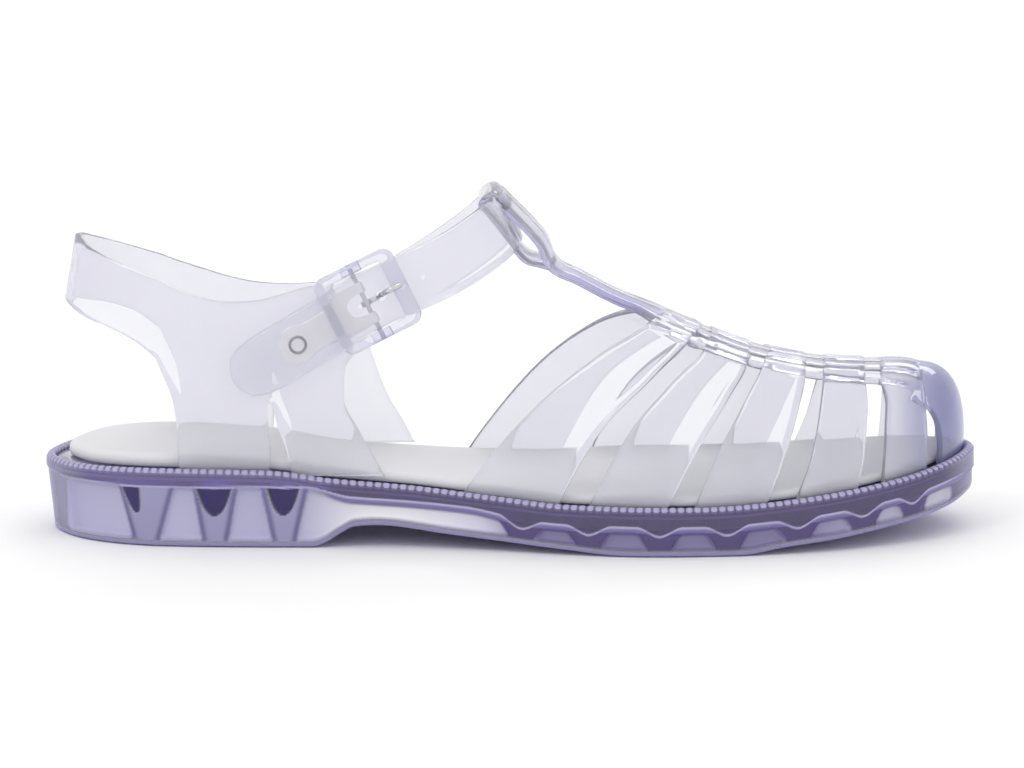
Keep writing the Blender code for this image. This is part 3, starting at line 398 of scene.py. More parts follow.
def outline_loop(steps):
    """The sole's outline as points and inward normals, starting at the heel tip."""
    corners = []
    for along, across in OUTLINE:
        width = blend(HEEL_WIDTH, BALL_WIDTH, ease(0.30, 0.62, along))
        corners.append(Vector((along_x(along), across * width)))
    count = len(corners)
    loop = []
    for i in range(count):
        around = [corners[(i + k) % count] for k in (-1, 0, 1, 2)]
        for step in range(steps):
            t = step / steps
            loop.append(spline_point(around, 1 + t))
    middle = Vector([(min(p[k] for p in loop) + max(p[k] for p in loop)) / 2 for k in (0, 1)])
    loop = [point - middle for point in loop]
    normals = []
    for i, _ in enumerate(loop):
        run = loop[(i + 1) % len(loop)] - loop[i - 1]
        normals.append(Vector((-run.y, run.x)).normalized())
    return loop, normals


LOOP, NORMALS = outline_loop(24)
TOE_INDEX = max(range(len(LOOP)), key=lambda i: LOOP[i].x)
# The side of the loop that runs from the heel tip to the toe tip first: the outer one
OUTER, INNER = -1, 1


def side_run(side):
    """Ascending x of the outline on one side, with its places in LOOP."""
    order = range(0, TOE_INDEX + 1) if side == OUTER else range(len(LOOP), TOE_INDEX - 1, -1)
    places = [i % len(LOOP) for i in order]
    climbing = []
    for i in places:
        climbing.append(max(LOOP[i].x, climbing[-1]) if climbing else LOOP[i].x)
    return climbing, places


RUNS = {OUTER: side_run(OUTER), INNER: side_run(INNER)}


def between(before, after, t):
    """Point and inward normal of the outline, part of the way from one of its points to another."""
    return LOOP[before].lerp(LOOP[after], t), NORMALS[before].lerp(NORMALS[after], t).normalized()


def rim_point(side, x, inset=0.0):
    """Point of the outline at this x on one side, moved inwards."""
    climbing, places = RUNS[side]
    k = min(max(bisect.bisect_right(climbing, x), 1), len(climbing) - 1)
    span = climbing[k] - climbing[k - 1]
    t = min(max((x - climbing[k - 1]) / span, 0.0), 1.0) if span > 0 else 1.0
    point, normal = between(places[k - 1], places[k], t)
    return point + normal * inset


def rim_height(x):
    return curve(RIM, share_of(x))


def underside(x):
    return curve(UNDERSIDE, share_of(x))


STRAP_INSET = BEAD_WIDTH + 1.5 * CLEARANCE + WALL / 2


def flange_height(x):
    """Middle of the flange's thickness."""
    return rim_height(x) - FLANGE_DROP - WALL / 2


def ridge_side(x):
    return 0.019 * LENGTH * ease(0.70, 0.98, share_of(x))


def last_point(side, x, turn):
    """Middle of the vamp's wall: turn is 0 at the rim of this side and 1 on the ridge."""
    foot = rim_point(side, x, STRAP_INSET)
    angle = turn * math.pi / 2
    top = curve(RIDGE, share_of(x)) - WALL / 2 - RELIEF
    base = flange_height(foot.x)
    return Vector(
        (
            x + (foot.x - x) * math.cos(angle),
            ridge_side(x) + (foot.y - ridge_side(x)) * math.cos(angle),
            base + (top - base) * math.sin(angle),
        )
    )


def over_ridge(x, turn):
    """As last_point, with turn running from 0 at the outer rim over 1 to 2 at the inner rim."""
    return last_point(OUTER, x, turn) if turn <= 1 else last_point(INNER, x, 2 - turn)


def vamp_point(x, y):
    """Middle of the vamp's wall above a plan position near the ridge."""
    side = OUTER if y < ridge_side(x) else INNER
    reach = rim_point(side, x, STRAP_INSET).y - ridge_side(x)
    return last_point(side, x, 1 - math.asin(min((y - ridge_side(x)) / reach, 1.0)) / (math.pi / 2))


def half_width(side, x, z):
    """Half the inside of the ankle, at the middle of the quarter's wall."""
    base = abs(rim_point(side, x, STRAP_INSET).y)
    rise = (z - flange_height(x)) / (0.8 * COLLAR_HEIGHT - flange_height(x))
    return blend(base, COLLAR_WIDTH / 2, min(max(rise, 0.0), LEAN_LIMIT) ** LEAN)


def quarter_point(side, x, z):
    return Vector((x, side * half_width(side, x, z), z))


def back_point(side, share, z):
    """Back strap's middle: share 0 where it meets the quarter, 1 behind the heel."""
    centre = along_x(BACK_CENTRE)
    angle = share * math.pi / 2
    reach = BACK_REACH - BACK_LEAN * (z / COLLAR_HEIGHT - 0.8) - WALL / 2
    width = half_width(side, centre, z)
    return Vector((centre - reach * math.sin(angle), side * width * math.cos(angle), z))


# Mesh steps, rounded edges and other fine sizes, in metres
FINE = 0.0022
SOLE_GRID = 0.0005
INSOLE_SPACING = 0.002
TUBE_SIDES = 40
RIVET_SIDES = 48
PROBE = 0.0001
EDGE_ROUND = 0.0008
FLANGE_ROUND = 0.0004
LOOP_ROUND = 0.0007
PLATE_ROUND = 0.00025
TUBE_ROUND = 0.00012
EAR_ROUND = 0.0005
BEAD_RADIUS = 0.00135
BEAD_GAP = 0.0001
STRAP_SAG = 0.0011
STRAP_GROOVE = 0.0005
LOOP_SAG = 0.0013
LOOP_THINNER = 0.0004
T_STRAP_THICKER = 0.0003
STITCH_PITCH = 0.00235
STITCH_HEIGHT = 0.00022
CAVITY_WALL = 0.0013
CAVITY_GAP = 0.0006
GRAIN_HEIGHT = 0.0002
SIDE_TOP = 0.0014
WAIST_BAND_HEIGHT = 0.0061
LINE_RISE = 0.0013
LINE_DIP = 0.0026
HEEL_CUSHION = 0.0011
PLATE_START = 0.0022
PLATE_TIP = 0.0004
NOTCH_DEPTH = 0.0028
TAB_NEAR = 0.0004
TAB_FAR = 0.0032
TAB_INSET = 0.0002
FRAME_CORNER = 0.0034
FRAME_INNER_CORNER = 0.0012
PRONG_HALF = 0.0009
RIVET_DOME = 0.00045
RIVET_SHOULDER = 0.0003
RIVET_SLOPE = 0.0002

# Section of the insole's side, from below: distance in, share of its thickness
INSOLE_SIDE = (
    (0.0012, 0.0),
    (0.0002, 0.12),
    (0.0, 0.4),
    (0.0001, 0.65),
    (0.0006, 0.88),
    (0.0016, 0.99),
    (0.0035, 1.0),
)

# Looks: a tone is red, green, blue and how frosted; absorption is per metre
FROST = 0.5
FROST_THROUGH = 0.15
PVC_IOR = 1.42
STRAP_ABSORPTION = 30.0
STRAP_TINT = (0.10, 0.03, 0.62)
SOLE_ABSORPTION = 46.0
SOLE_TINT = (0.20, 0.04, 0.56)
STRAP_TONE = (0.96, 0.96, 0.985, 0.20)
TOE_TONE = (0.46, 0.47, 0.70, 0.34)
# painted shade on the outer half of the T-strap
T_STRAP_SHADE_TONE = (0.58, 0.56, 0.82, 0.28)
# painted shade in the gaps between the bead's stitches and under the bead
STITCH_SHADE_TONE = (0.14, 0.11, 0.26, 0.8)
BEAD_TONE = (0.62, 0.58, 0.86, 0.75)
# painted highlight: the light line along the sole's band
HIGHLIGHT_LINE_TONE = (0.66, 0.63, 0.90, 0.8)
# painted shade along the band's step, under the highlight line
LIP_SHADE_TONE = (0.30, 0.26, 0.55, 0.8)
POST_TONE = (0.50, 0.48, 0.74, 0.7)
# painted shade along the sides of the heel's pillars, next to the recessed windows
FLANK_SHADE_TONE = (0.26, 0.22, 0.48, 0.5)
BAND_TONE = (0.22, 0.17, 0.43, 0.35)
FRONT_POST_TONE = (0.25, 0.19, 0.50, 0.4)
HEEL_BAND_TONE = (0.26, 0.20, 0.55, 0.45)
PLATE_TONE = (0.46, 0.42, 0.74, 0.7)
LEDGE_TONE = (0.66, 0.63, 0.90, 0.8)
END_TONE = (0.36, 0.33, 0.64, 0.5)

# Colour of the frosted windows, with painted light and shade: near white at the raised arch, darkest in the
# forefoot. Columns: share of the length, red, green, blue
WINDOW_TONES_AND_LIGHT = (
    (0.02, 0.48, 0.46, 0.68),
    (0.12, 0.55, 0.53, 0.74),
    (0.26, 0.53, 0.51, 0.72),
    (0.36, 0.98, 0.97, 1.00),
    (0.46, 0.80, 0.78, 0.92),
    (0.53, 0.28, 0.25, 0.44),
    (0.78, 0.28, 0.25, 0.44),
    (0.88, 0.50, 0.48, 0.66),
    (0.96, 0.66, 0.65, 0.76),
)

# Dark lobes that hang from the band into the heel's pillars: share of the length, half width, drop
LOBES = (
    (0.092, 0.0028, 0.0094),
    (0.183, 0.0056, 0.0098),
    (0.257, 0.0052, 0.0096),
)


def material(name, colour, roughness, metallic=0.0, transmission=0.0, ior=1.5):
    made = bpy.data.materials.new(name)
    made.use_nodes = True
    inputs = made.node_tree.nodes["Principled BSDF"].inputs
    inputs["Base Color"].default_value = (*colour, 1.0)
    inputs["Roughness"].default_value = roughness
    inputs["Metallic"].default_value = metallic
    inputs["Transmission Weight"].default_value = transmission
    inputs["IOR"].default_value = ior
    return made


def added(made, kind, values):
    """A new node of this kind in the material, with these inputs set."""
    node = made.node_tree.nodes.new(kind)
    for name, value in values.items():
        node.inputs[name].default_value = value
    return node


def absorbing(made, tint, density):
    """Makes the inside of the piece take up light, so that thick places are darker."""
    volume = added(made, "ShaderNodeVolumeAbsorption", {"Color": (*tint, 1.0), "Density": density})
    output = made.node_tree.nodes["Material Output"]
    made.node_tree.links.new(volume.outputs["Volume"], output.inputs["Volume"])
    return made


def grained(made, scale, strength):
    """Fine moulded grain on the surface."""
    links = made.node_tree.links
    place = added(made, "ShaderNodeTexCoord", {})
    noise = added(made, "ShaderNodeTexNoise", {"Scale": scale, "Detail": 2.0})
    bump = added(made, "ShaderNodeBump", {"Strength": strength, "Distance": GRAIN_HEIGHT})
    links.new(place.outputs["Object"], noise.inputs["Vector"])
    links.new(noise.outputs["Fac"], bump.inputs["Height"])
    links.new(bump.outputs["Normal"], made.node_tree.nodes["Principled BSDF"].inputs["Normal"])
    return made


def painted(made, rough, frosted):
    """Takes the tone and the frosting of each corner from the mesh."""
    links = made.node_tree.links
    inputs = made.node_tree.nodes["Principled BSDF"].inputs
    tone = added(made, "ShaderNodeAttribute", {})
    tone.attribute_name = "tone"
    links.new(tone.outputs["Color"], inputs["Base Color"])
    for name, low, high in (("Roughness", rough, frosted), ("Transmission Weight", 1.0, FROST_THROUGH)):
        spread = added(made, "ShaderNodeMapRange", {"To Min": low, "To Max": high})
        links.new(tone.outputs["Alpha"], spread.inputs["Value"])
        links.new(spread.outputs["Result"], inputs[name])
    return made


def toned(made, tone_at):
    """Writes (red, green, blue, frosting) at each point of the mesh, from its number and place."""
    layer = made.data.color_attributes.new("tone", "FLOAT_COLOR", "POINT")
    for i, (point, item) in enumerate(zip(made.data.vertices, layer.data)):
        item.color = tone_at(i, point.co)
    return made


def new_object(name, data):
    made = bpy.data.objects.new(name, data)
    bpy.context.scene.collection.objects.link(made)
    return made


def built(name, points, faces, outward=True):
    """An object from points and faces, with repeated corners and faces left out."""
    trimmed = [tuple(dict.fromkeys(face)) for face in faces]
    kept = {tuple(sorted(face)): face for face in trimmed if len(face) > 2}
    mesh = bpy.data.meshes.new(name)
    shape = bmesh.new()
    corners = [shape.verts.new(point) for point in points]
    for face in kept.values():
        shape.faces.new([corners[i] for i in face])
    if outward:
        bmesh.ops.recalc_face_normals(shape, faces=shape.faces)
    shape.to_mesh(mesh)
    shape.free()
    return new_object(name, mesh)


def quads(rows, columns, round_rows=True, round_columns=True):
    """Faces between rows of points; what goes round joins its last to its first."""
    faces = []
    for r in range(rows if round_rows else rows - 1):
        here, there = r * columns, (r + 1) % rows * columns
        for c in range(columns if round_columns else columns - 1):
            d = (c + 1) % columns
            faces.append((here + c, here + d, there + d, there + c))
    return faces


def closed_ring(name, sections):
    """A closed tube from equal sections in turn; the last section joins the first."""
    points = [point for section in sections for point in section]
    return built(name, points, quads(len(sections), len(sections[0])))


def smooth(made, angle=40.0):
    for polygon in made.data.polygons:
        polygon.use_smooth = True
    made.data.set_sharp_from_angle(angle=math.radians(angle))
    return made


def settled(made):
    """The object with its modifiers applied, smooth but for its sharp edges."""
    bpy.context.view_layer.update()
    graph = bpy.context.evaluated_depsgraph_get()
    mesh = bpy.data.meshes.new_from_object(made.evaluated_get(graph))
    made.modifiers.clear()
    made.data = mesh
    return smooth(made)


def joined(target, operation, others):
    for other in others:
        step = target.modifiers.new(other.name, "BOOLEAN")
        step.operation = operation
        step.object = other
        step.solver = "MANIFOLD"
    settled(target)
    for other in others:
        bpy.data.objects.remove(other)


def places_across(width, inner, radius=EDGE_ROUND):
    """Shares of the width from edge to edge, close together where the edges are rounded."""
    near = [f * min(radius / width, 0.45) for f in (0.0, 0.06, 0.22, 0.5, 1.0)]
    low, high = near[-1], 1 - near[-1]
    middle = [blend(low, high, share) for share in shares(inner, 1)[:-1]]
    return near + middle + [1 - share for share in reversed(near)]


def lengths(points):
    run = [0.0]
    for before, after in zip(points, points[1:]):
        run.append(run[-1] + (after - before).length)
    return run


def half_thickness(thickness, edge, radius):
    """Half the thickness of a plate this far in from its rounded edge."""
    share = 1 - min(edge / radius, 1.0)
    return thickness / 2 * math.sqrt(max(1 - share * share, 0.0))


def add_place(points, top, bottom, key, middle, offset):
    """Adds a plate's points above and below its middle, or where there is no offset just one."""
    top[key] = bottom[key] = len(points)
    if offset is None:
        points.append(middle)
        return
    bottom[key] += 1
    points += [middle + offset, middle - offset]


def slab(name, grid, thickness, radius=EDGE_ROUND, ends=(False, False), height=None, facing=None):
    """A strip with rounded edges about a grid of middle points, rows along it and columns across.

    Facing says which side is the top: its sideways part grows with the distance from the middle.
    """
    rows, columns = len(grid), len(grid[0])
    across = [lengths(row) for row in grid]
    along = lengths([row[columns // 2] for row in grid])
    top, bottom, points = {}, {}, []
    for r in range(rows):
        for c in range(columns):
            middle = grid[r][c]
            run = grid[min(r + 1, rows - 1)][c] - grid[max(r - 1, 0)][c]
            side = grid[r][min(c + 1, columns - 1)] - grid[r][max(c - 1, 0)]
            normal = run.cross(side).normalized()
            if facing and normal.dot(Vector((facing[0], middle.y * facing[1], facing[2]))) < 0:
                normal.negate()
            edge = min(across[r][c], across[r][-1] - across[r][c])
            if ends[0]:
                edge = min(edge, along[r])
            if ends[1]:
                edge = min(edge, along[-1] - along[r])
            half = half_thickness(thickness, edge, radius)
            if height:
                middle = middle + normal * height(r, c)
            add_place(points, top, bottom, (r, c), middle, normal * half if half >= 1e-6 else None)
    faces = []
    for r in range(rows - 1):
        for c in range(columns - 1):
            for layer in (top, bottom):
                faces.append((layer[r, c], layer[r, c + 1], layer[r + 1, c + 1], layer[r + 1, c]))
    for r, rounded in ((0, ends[0]), (rows - 1, ends[1])):
        if not rounded:
            for c in range(columns - 1):
                faces.append((top[r, c], top[r, c + 1], bottom[r, c + 1], bottom[r, c]))
    return built(name, points, faces)


def offset_loop(loop, distance):
    """A closed outline moved to its left by this distance."""
    count = len(loop)
    moved = []
    for i, point in enumerate(loop):
        run = loop[(i + 1) % count] - loop[i - 1]
        normal = Vector((-run.y, run.x)).normalized()
        moved.append(point + normal * distance)
    return moved


def resampled(points, spacing):
    """A closed outline in steps of about this length, keeping its corners."""
    made = []
    for before, after in zip(points, points[1:] + points[:1]):
        steps = max(1, round((after - before).length / spacing))
        made += [before.lerp(after, k / steps) for k in range(steps)]
    return made


def moulded(name, outline, surface, thickness):
    """A curved plate with rounded edges: an anticlockwise outline in a surface's two coordinates."""
    outline = resampled(outline, 0.6 * FINE)
    loops = [outline] + [offset_loop(outline, share * EDGE_ROUND) for share in (0.06, 0.22, 0.5, 1.0)]
    points, edges = [], []
    for loop in loops:
        start = len(points)
        points += loop
        edges += [(start + i, start + (i + 1) % len(loop)) for i in range(len(loop))]
    dense = resampled(outline, 0.15 * FINE)
    tree = KDTree(len(dense))
    for i, point in enumerate(dense):
        tree.insert((point.x, point.y, 0), i)
    tree.balance()
    low = Vector((min(p.x for p in outline), min(p.y for p in outline)))
    high = Vector((max(p.x for p in outline), max(p.y for p in outline)))
    for i in range(int((high.x - low.x) / FINE) + 1):
        for j in range(int((high.y - low.y) / FINE) + 1):
            point = low + Vector(((i + 0.5 * (j % 2)) * FINE, j * FINE))
            if tree.find((point.x, point.y, 0))[2] > EDGE_ROUND + 0.4 * FINE:
                points.append(point)
    found = delaunay_2d_cdt(points, edges, [list(range(len(outline)))], 1, 1e-7)
    step = 0.0002
    top, bottom, made = {}, {}, []
    for i, point in enumerate(found[0]):
        centre = surface(point.x, point.y)
        run = surface(point.x + step, point.y) - surface(point.x - step, point.y)
        rise = surface(point.x, point.y + step) - surface(point.x, point.y - step)
        normal = run.cross(rise).normalized()
        edge = tree.find((point.x, point.y, 0))[2]
        half = half_thickness(thickness, edge, EDGE_ROUND)
        add_place(made, top, bottom, i, centre, normal * half if edge >= 0.02 * EDGE_ROUND else None)
    faces = [[layer[i] for i in face] for face in found[2] for layer in (top, bottom)]
    return built(name, made, faces)


ABOVE = (0.15, 30, 0.6)


def is_over(strap, strand):
    return (strap + strand) % 2 == 0


def edge_share(edge, turn):
    places = (0.0, 0.25, 0.5, 0.75, 1.0)
    return curve(tuple(zip(places, edge)), turn if turn <= 1 else 2 - turn)


def pad(share, soft):
    """1 inside 0..1, falling to 0 at both ends over a soft share."""
    return ease(0.0, soft, share) * ease(0.0, soft, 1 - share)


def cross_strap(index):
    rear, front = CROSS_STRAPS[index]
    steps = 96
    grid = []
    for r in range(steps + 1):
        turn = 2 * r / steps
        low = along_x(edge_share(rear, turn))
        high = along_x(edge_share(front, turn))
        width = (over_ridge(high, turn) - over_ridge(low, turn)).length
        grid.append([over_ridge(blend(low, high, share), turn) for share in places_across(width, 8)])

    def height(r, c):
        point = grid[r][c]
        across = (point.y - ridge_side(point.x)) / STRAND_PITCH + STRANDS / 2
        if not 0 < across < STRANDS or point.z < 0.035:
            return 0.0
        strand = int(across)
        size = RELIEF if is_over(index, strand) else -RELIEF
        return size * pad(across - strand, 0.16)

    return slab(f"cross_strap_{index + 1}", grid, WALL, height=height, facing=ABOVE)


def strand(index):
    offset = (index - (STRANDS - 1) / 2) * STRAND_PITCH
    half = (STRAND_PITCH - STRAND_GAP) / 2
    steps = 120
    shares = places_across(2 * half, 4)
    grid, sizes = [], []
    for r in range(steps + 1):
        along = blend(*STRAND_ENDS, r / steps)
        x = along_x(along)
        middle = ridge_side(x) + offset
        grid.append([vamp_point(x, middle + blend(-half, half, share)) for share in shares])
        size = 0.0
        for number, (rear, front) in enumerate(CROSS_STRAPS):
            inside = (along - rear[-1]) / (front[-1] - rear[-1])
            if 0 < inside < 1:
                size = pad(inside, 0.14) * (-1 if is_over(number, index) else 1)
        sizes.append(size * RELIEF)
    return slab(f"strand_{index + 1}", grid, WALL, height=lambda r, c: sizes[r], facing=ABOVE)


def toe_band():
    columns, rows = 72, 24
    rear, top_x = along_x(TOE_BAND[0]), along_x(TOE_BAND[1])
    start = min(range(TOE_INDEX), key=lambda i: abs(LOOP[i].x - rear))
    end = min(range(TOE_INDEX, len(LOOP)), key=lambda i: abs(LOOP[i].x - rear))
    grid = []
    for turn in shares(rows):
        angle = turn * math.pi / 2
        out = math.cos(angle) ** 0.72
        bulge = TOE_BULGE * math.sin(2 * angle)
        line = []
        for share in shares(columns):
            place = blend(start, end, share)
            i = int(place)
            foot, normal = between(i, (i + 1) % len(LOOP), place - i)
            foot = foot + normal * STRAP_INSET
            base = flange_height(foot.x)
            top = vamp_point(top_x, ridge_side(top_x) + blend(-1, 1, share) * 3.1 * STRAND_PITCH)
            x = top.x + (foot.x - top.x) * out - normal.x * bulge
            y = top.y + (foot.y - top.y) * out - normal.y * bulge
            line.append(Vector((x, y, base + (top.z - base) * math.sin(angle) ** 0.9)))
        grid.append(line)
    return slab("toe_band", grid, WALL, facing=(1.0, 20, 0.4))


def heel_surface(reach, z):
    """Middle of the heel wall: reach runs round it, minus on the outer side, 0 behind the heel."""
    side = OUTER if reach < 0 else INNER
    if abs(reach) < BACK_ARC:
        return back_point(side, 1 - abs(reach) / BACK_ARC, z)
    return quarter_point(side, along_x(BACK_CENTRE) + abs(reach) - BACK_ARC, z)


def heel_outline(side):
    """From the bottom of the front edge over the top edge to the heel's middle, and back below."""

    def reach(along):
        return BACK_ARC + along_x(along) - along_x(BACK_CENTRE)

    column = 1 if side == OUTER else 2
    top_edge = COLLAR[:-1] + ((BACK_CENTRE, BACK_STRAP[0][2], BACK_STRAP[0][2]),)
    front_top, corner = QUARTER[-1][0], COLLAR[0]
    slot_top = QUARTER[SLOT_TOP_ROW][0] - SLOT_STOP
    points = []
    for share in shares(18):
        h = blend(FOOT_SHARE, front_top, share)
        points.append((reach(curve(QUARTER, h, column)), h))
    last = curve(QUARTER, front_top, column)
    for t in shares(8, 1):
        along = blend(last, corner[0], t**1.1)
        points.append((reach(along), blend(front_top, corner[column], t**0.9)))
    for share in shares(24, 1):
        along = blend(corner[0], BACK_CENTRE, share)
        points.append((reach(along), curve(top_edge, along, column)))
    for share in shares(16, 1):
        points.append((BACK_ARC * (1 - share), curve(BACK_STRAP, share, 2)))
    for share in reversed(shares(16)):
        points.append((BACK_ARC * (1 - share), curve(BACK_STRAP, share)))
    for share in shares(16, 1):
        h = blend(REAR_TOP, FOOT_SHARE, share)
        points.append((reach(curve(QUARTER, h, 4)), h))
    for way, climb in ((-1, shares(8)), (1, reversed(shares(8)))):
        for share in climb:
            h = blend(FOOT_SHARE, slot_top, share)
            open_half = SLOT_WIDTH / 2 * (1 - share) + SLOT_END
            points.append((reach(curve(QUARTER, h, 3)) + way * open_half, h))
    return [Vector((side * a, h * COLLAR_HEIGHT)) for a, h in points]


def heel_wall():
    """Both quarters and the back strap in one piece."""
    outer, inner = heel_outline(OUTER), heel_outline(INNER)
    turn = next(i for i, p in enumerate(outer) if abs(p.x) < 1e-6) + 1
    # each half starts under the heel's middle and ends over it; the inner one is gone through backwards
    loop = outer[turn:] + outer[:turn]
    back = inner[turn:] + inner[:turn]
    whole = loop[:-1] + back[:0:-1]
    area = sum(a.x * b.y - b.x * a.y for a, b in zip(whole, whole[1:] + whole[:1]))
    if area < 0:
        whole.reverse()
    return moulded("heel_wall", whole, heel_surface, WALL)


def t_strap_points():
    return [Vector((along_x(a), 0, h * COLLAR_HEIGHT)) for a, h in T_STRAP]


def t_strap():
    points = t_strap_points()
    last = len(points) - 1
    grid = []
    for share in shares(90):
        place = share * last
        middle = spline_point(points, place)
        run = spline_point(points, min(place + 0.05, last)) - spline_point(points, max(place - 0.05, 0))
        run.normalize()
        down = Vector((-run.z, 0, run.x))
        if down.z > 0:
            down.negate()
        half = blend(T_STRAP_WIDTH, LOOP_WIDTH, ease(3.2, 4.6, place)) / 2
        half = max(half, blend(2.35 * STRAND_PITCH, half, ease(0.0, 1.6, place)))
        line = []
        for across in places_across(2 * half, 12):
            side = 2 * across - 1
            sag = STRAP_SAG * side * side * (half / (T_STRAP_WIDTH / 2)) ** 2
            groove = STRAP_GROOVE * math.exp(-((side / 0.09) ** 2)) * ease(0.6, 1.2, place)
            line.append(middle + down * (WALL / 2 + sag + groove) + Vector((0, side * half, 0)))
        grid.append(line)
    return slab("t_strap", grid, WALL + T_STRAP_THICKER, ends=(True, True), facing=(0.6, 20, 0.6))


def loop_back():
    """The loop's rear wall, from the bend at its top down to the T-strap again."""
    points = t_strap_points()
    up = (points[-1] - points[-3]).normalized()
    behind = Vector((-up.z, 0, up.x))
    if behind.x > 0:
        behind.negate()
    top = points[-1] + behind * WALL / 2
    bend = (
        (-0.002, 0.0),
        (0.0004, 0.0),
        (0.0012, 0.5),
        (0.0002, 1.0),
        (-0.004, 1.0),
        (-0.012, 1.0),
        (-0.0195, 0.98),
        (-0.0235, 0.45),
        (-0.0262, 0.02),
    )
    path = [top + up * rise + behind * LOOP_DEPTH * share for rise, share in bend]
    half = 0.92 * LOOP_WIDTH / 2
    grid = []
    for along in shares(64):
        point = spline_point(path, along * (len(path) - 1))
        line = []
        for share in places_across(2 * half, 12):
            side = 2 * share - 1
            line.append(point + behind * LOOP_SAG * side * side + Vector((0, side * half, 0)))
        grid.append(line)
    return slab("loop_back", grid, WALL - LOOP_THINNER, radius=LOOP_ROUND)


LAYERS = WALL + PLATE_THICKNESS + 2 * CLEARANCE
TAIL_START = len(STRAP_ROOT) + len(STRAP_ARCH)
AXLE_PLACE = TAIL_START + BUCKLE_ROW


def over_quarter(side, x, z, out):
    """Point out from the middle of the quarter's wall."""
    return Vector((x, side * (half_width(side, x, z) + out), z))


def ankle_rows():
    rows = [over_quarter(INNER, along_x(a), h * COLLAR_HEIGHT, STRAP_STEP) for a, h in STRAP_ROOT]
    rows += [Vector((along_x(a), side * COLLAR_WIDTH, h * COLLAR_HEIGHT)) for a, side, h in STRAP_ARCH]
    rows += [over_quarter(OUTER, along_x(a), h * COLLAR_HEIGHT, LAYERS) for a, h in STRAP_TAIL]
    return rows


ANKLE_ROWS = ankle_rows()
LAST_PLACE = len(ANKLE_ROWS) - 1


def ankle_middle(place):
    return spline_point(ANKLE_ROWS, min(max(place, 0.0), LAST_PLACE))


def ankle_point(place, across, out=0.0):
    """Point of the ankle strap: across is towards its lower edge, out is away from the ankle."""
    middle = ankle_middle(place)
    run = (ankle_middle(place + 0.08) - ankle_middle(place - 0.08)).normalized()
    flat = Vector((run.x, 0, run.z))
    lie = ease(0.16, 0.46, abs(middle.y) / COLLAR_WIDTH)
    width = Vector((0.45, 0, -0.89))
    if flat.length > 0.3:
        along = flat.normalized()
        turned = Vector((along.z, 0, -along.x))
        if turned.z > 0:
            turned.negate()
        width = width.lerp(turned, lie)
    width.normalize()
    side = OUTER if middle.y < 0 else INNER
    moved = middle + width * across
    here = half_width(side, middle.x, middle.z)
    there = half_width(side, moved.x, moved.z)
    moved.y += side * (there - here) * lie
    slope = Vector((width.x, side * (there - here) / across * lie if across else 0.0, width.z))
    normal = run.cross(slope).normalized()
    outward = Vector((0.4, middle.y / COLLAR_WIDTH * 3, 0.3))
    if normal.dot(outward) < 0:
        normal.negate()
    return moved + normal * out


def strap_place(distance):
    """Place this far along the strap from the axle, minus towards the instep."""
    step = 0.01 if distance > 0 else -0.01
    gone = 0.0
    place = AXLE_PLACE
    while 0 < place < LAST_PLACE:
        piece = (ankle_middle(place + step) - ankle_middle(place)).length
        if gone + piece >= abs(distance):
            return place + step * (abs(distance) - gone) / piece
        gone += piece
        place += step
    return place


def ankle_strap():
    grid = []
    for share in shares(220):
        place = share * LAST_PLACE
        tip = max(place - (LAST_PLACE - 1.0), 0)
        half = ANKLE_STRAP_WIDTH / 2 * math.sqrt(max(1 - tip**2.6, 0.012))
        sides = [(2 * across - 1) * half for across in places_across(2 * half, 10)]
        grid.append([ankle_point(place, side + 1e-7) for side in sides])
    return slab("ankle_strap", grid, WALL, ends=(False, True), facing=(0.2, 60, 0.35))


def strap_hole(number, place, radius):
    middle = ankle_point(place, PROBE)
    normal = ankle_point(place, PROBE, WALL) - middle
    bpy.ops.mesh.primitive_cylinder_add(vertices=28, radius=radius, depth=3 * WALL, location=middle)
    made = bpy.context.object
    made.name = f"strap_hole_{number}"
    made.rotation_mode = "QUATERNION"
    made.rotation_quaternion = normal.to_track_quat("Z", "Y")
    return made


def flange():
    """The rim of the upper that lies in the sole's seat."""
    start = STRAP_INSET - WALL / 2
    grid = []
    for i in [*range(0, len(LOOP), 2), 0]:
        row = []
        for share in places_across(FLANGE_WIDTH, 2, radius=FLANGE_ROUND):
            point = LOOP[i] + NORMALS[i] * blend(start, start + FLANGE_WIDTH, share)
            row.append(Vector((point.x, point.y, flange_height(point.x))))
        grid.append(row)
    return slab("upper_wall", grid, WALL, radius=FLANGE_ROUND, facing=(0, 0, 1))


def fine_loop(spacing):
    """Points and inward normals round the sole at about this spacing, with their arc lengths."""
    run = lengths(LOOP + LOOP[:1])
    count = round(run[-1] / spacing)
    made = []
    k = 0
    for n in range(count):
        at = n / count * run[-1]
        while run[k + 1] < at:
            k += 1
        t = (at - run[k]) / (run[k + 1] - run[k])
        made.append((*between(k, (k + 1) % len(LOOP), t), at))
    return made, run[-1]


def inward(point, normal, inset, z):
    place = point + normal * inset
    return Vector((place.x, place.y, z))


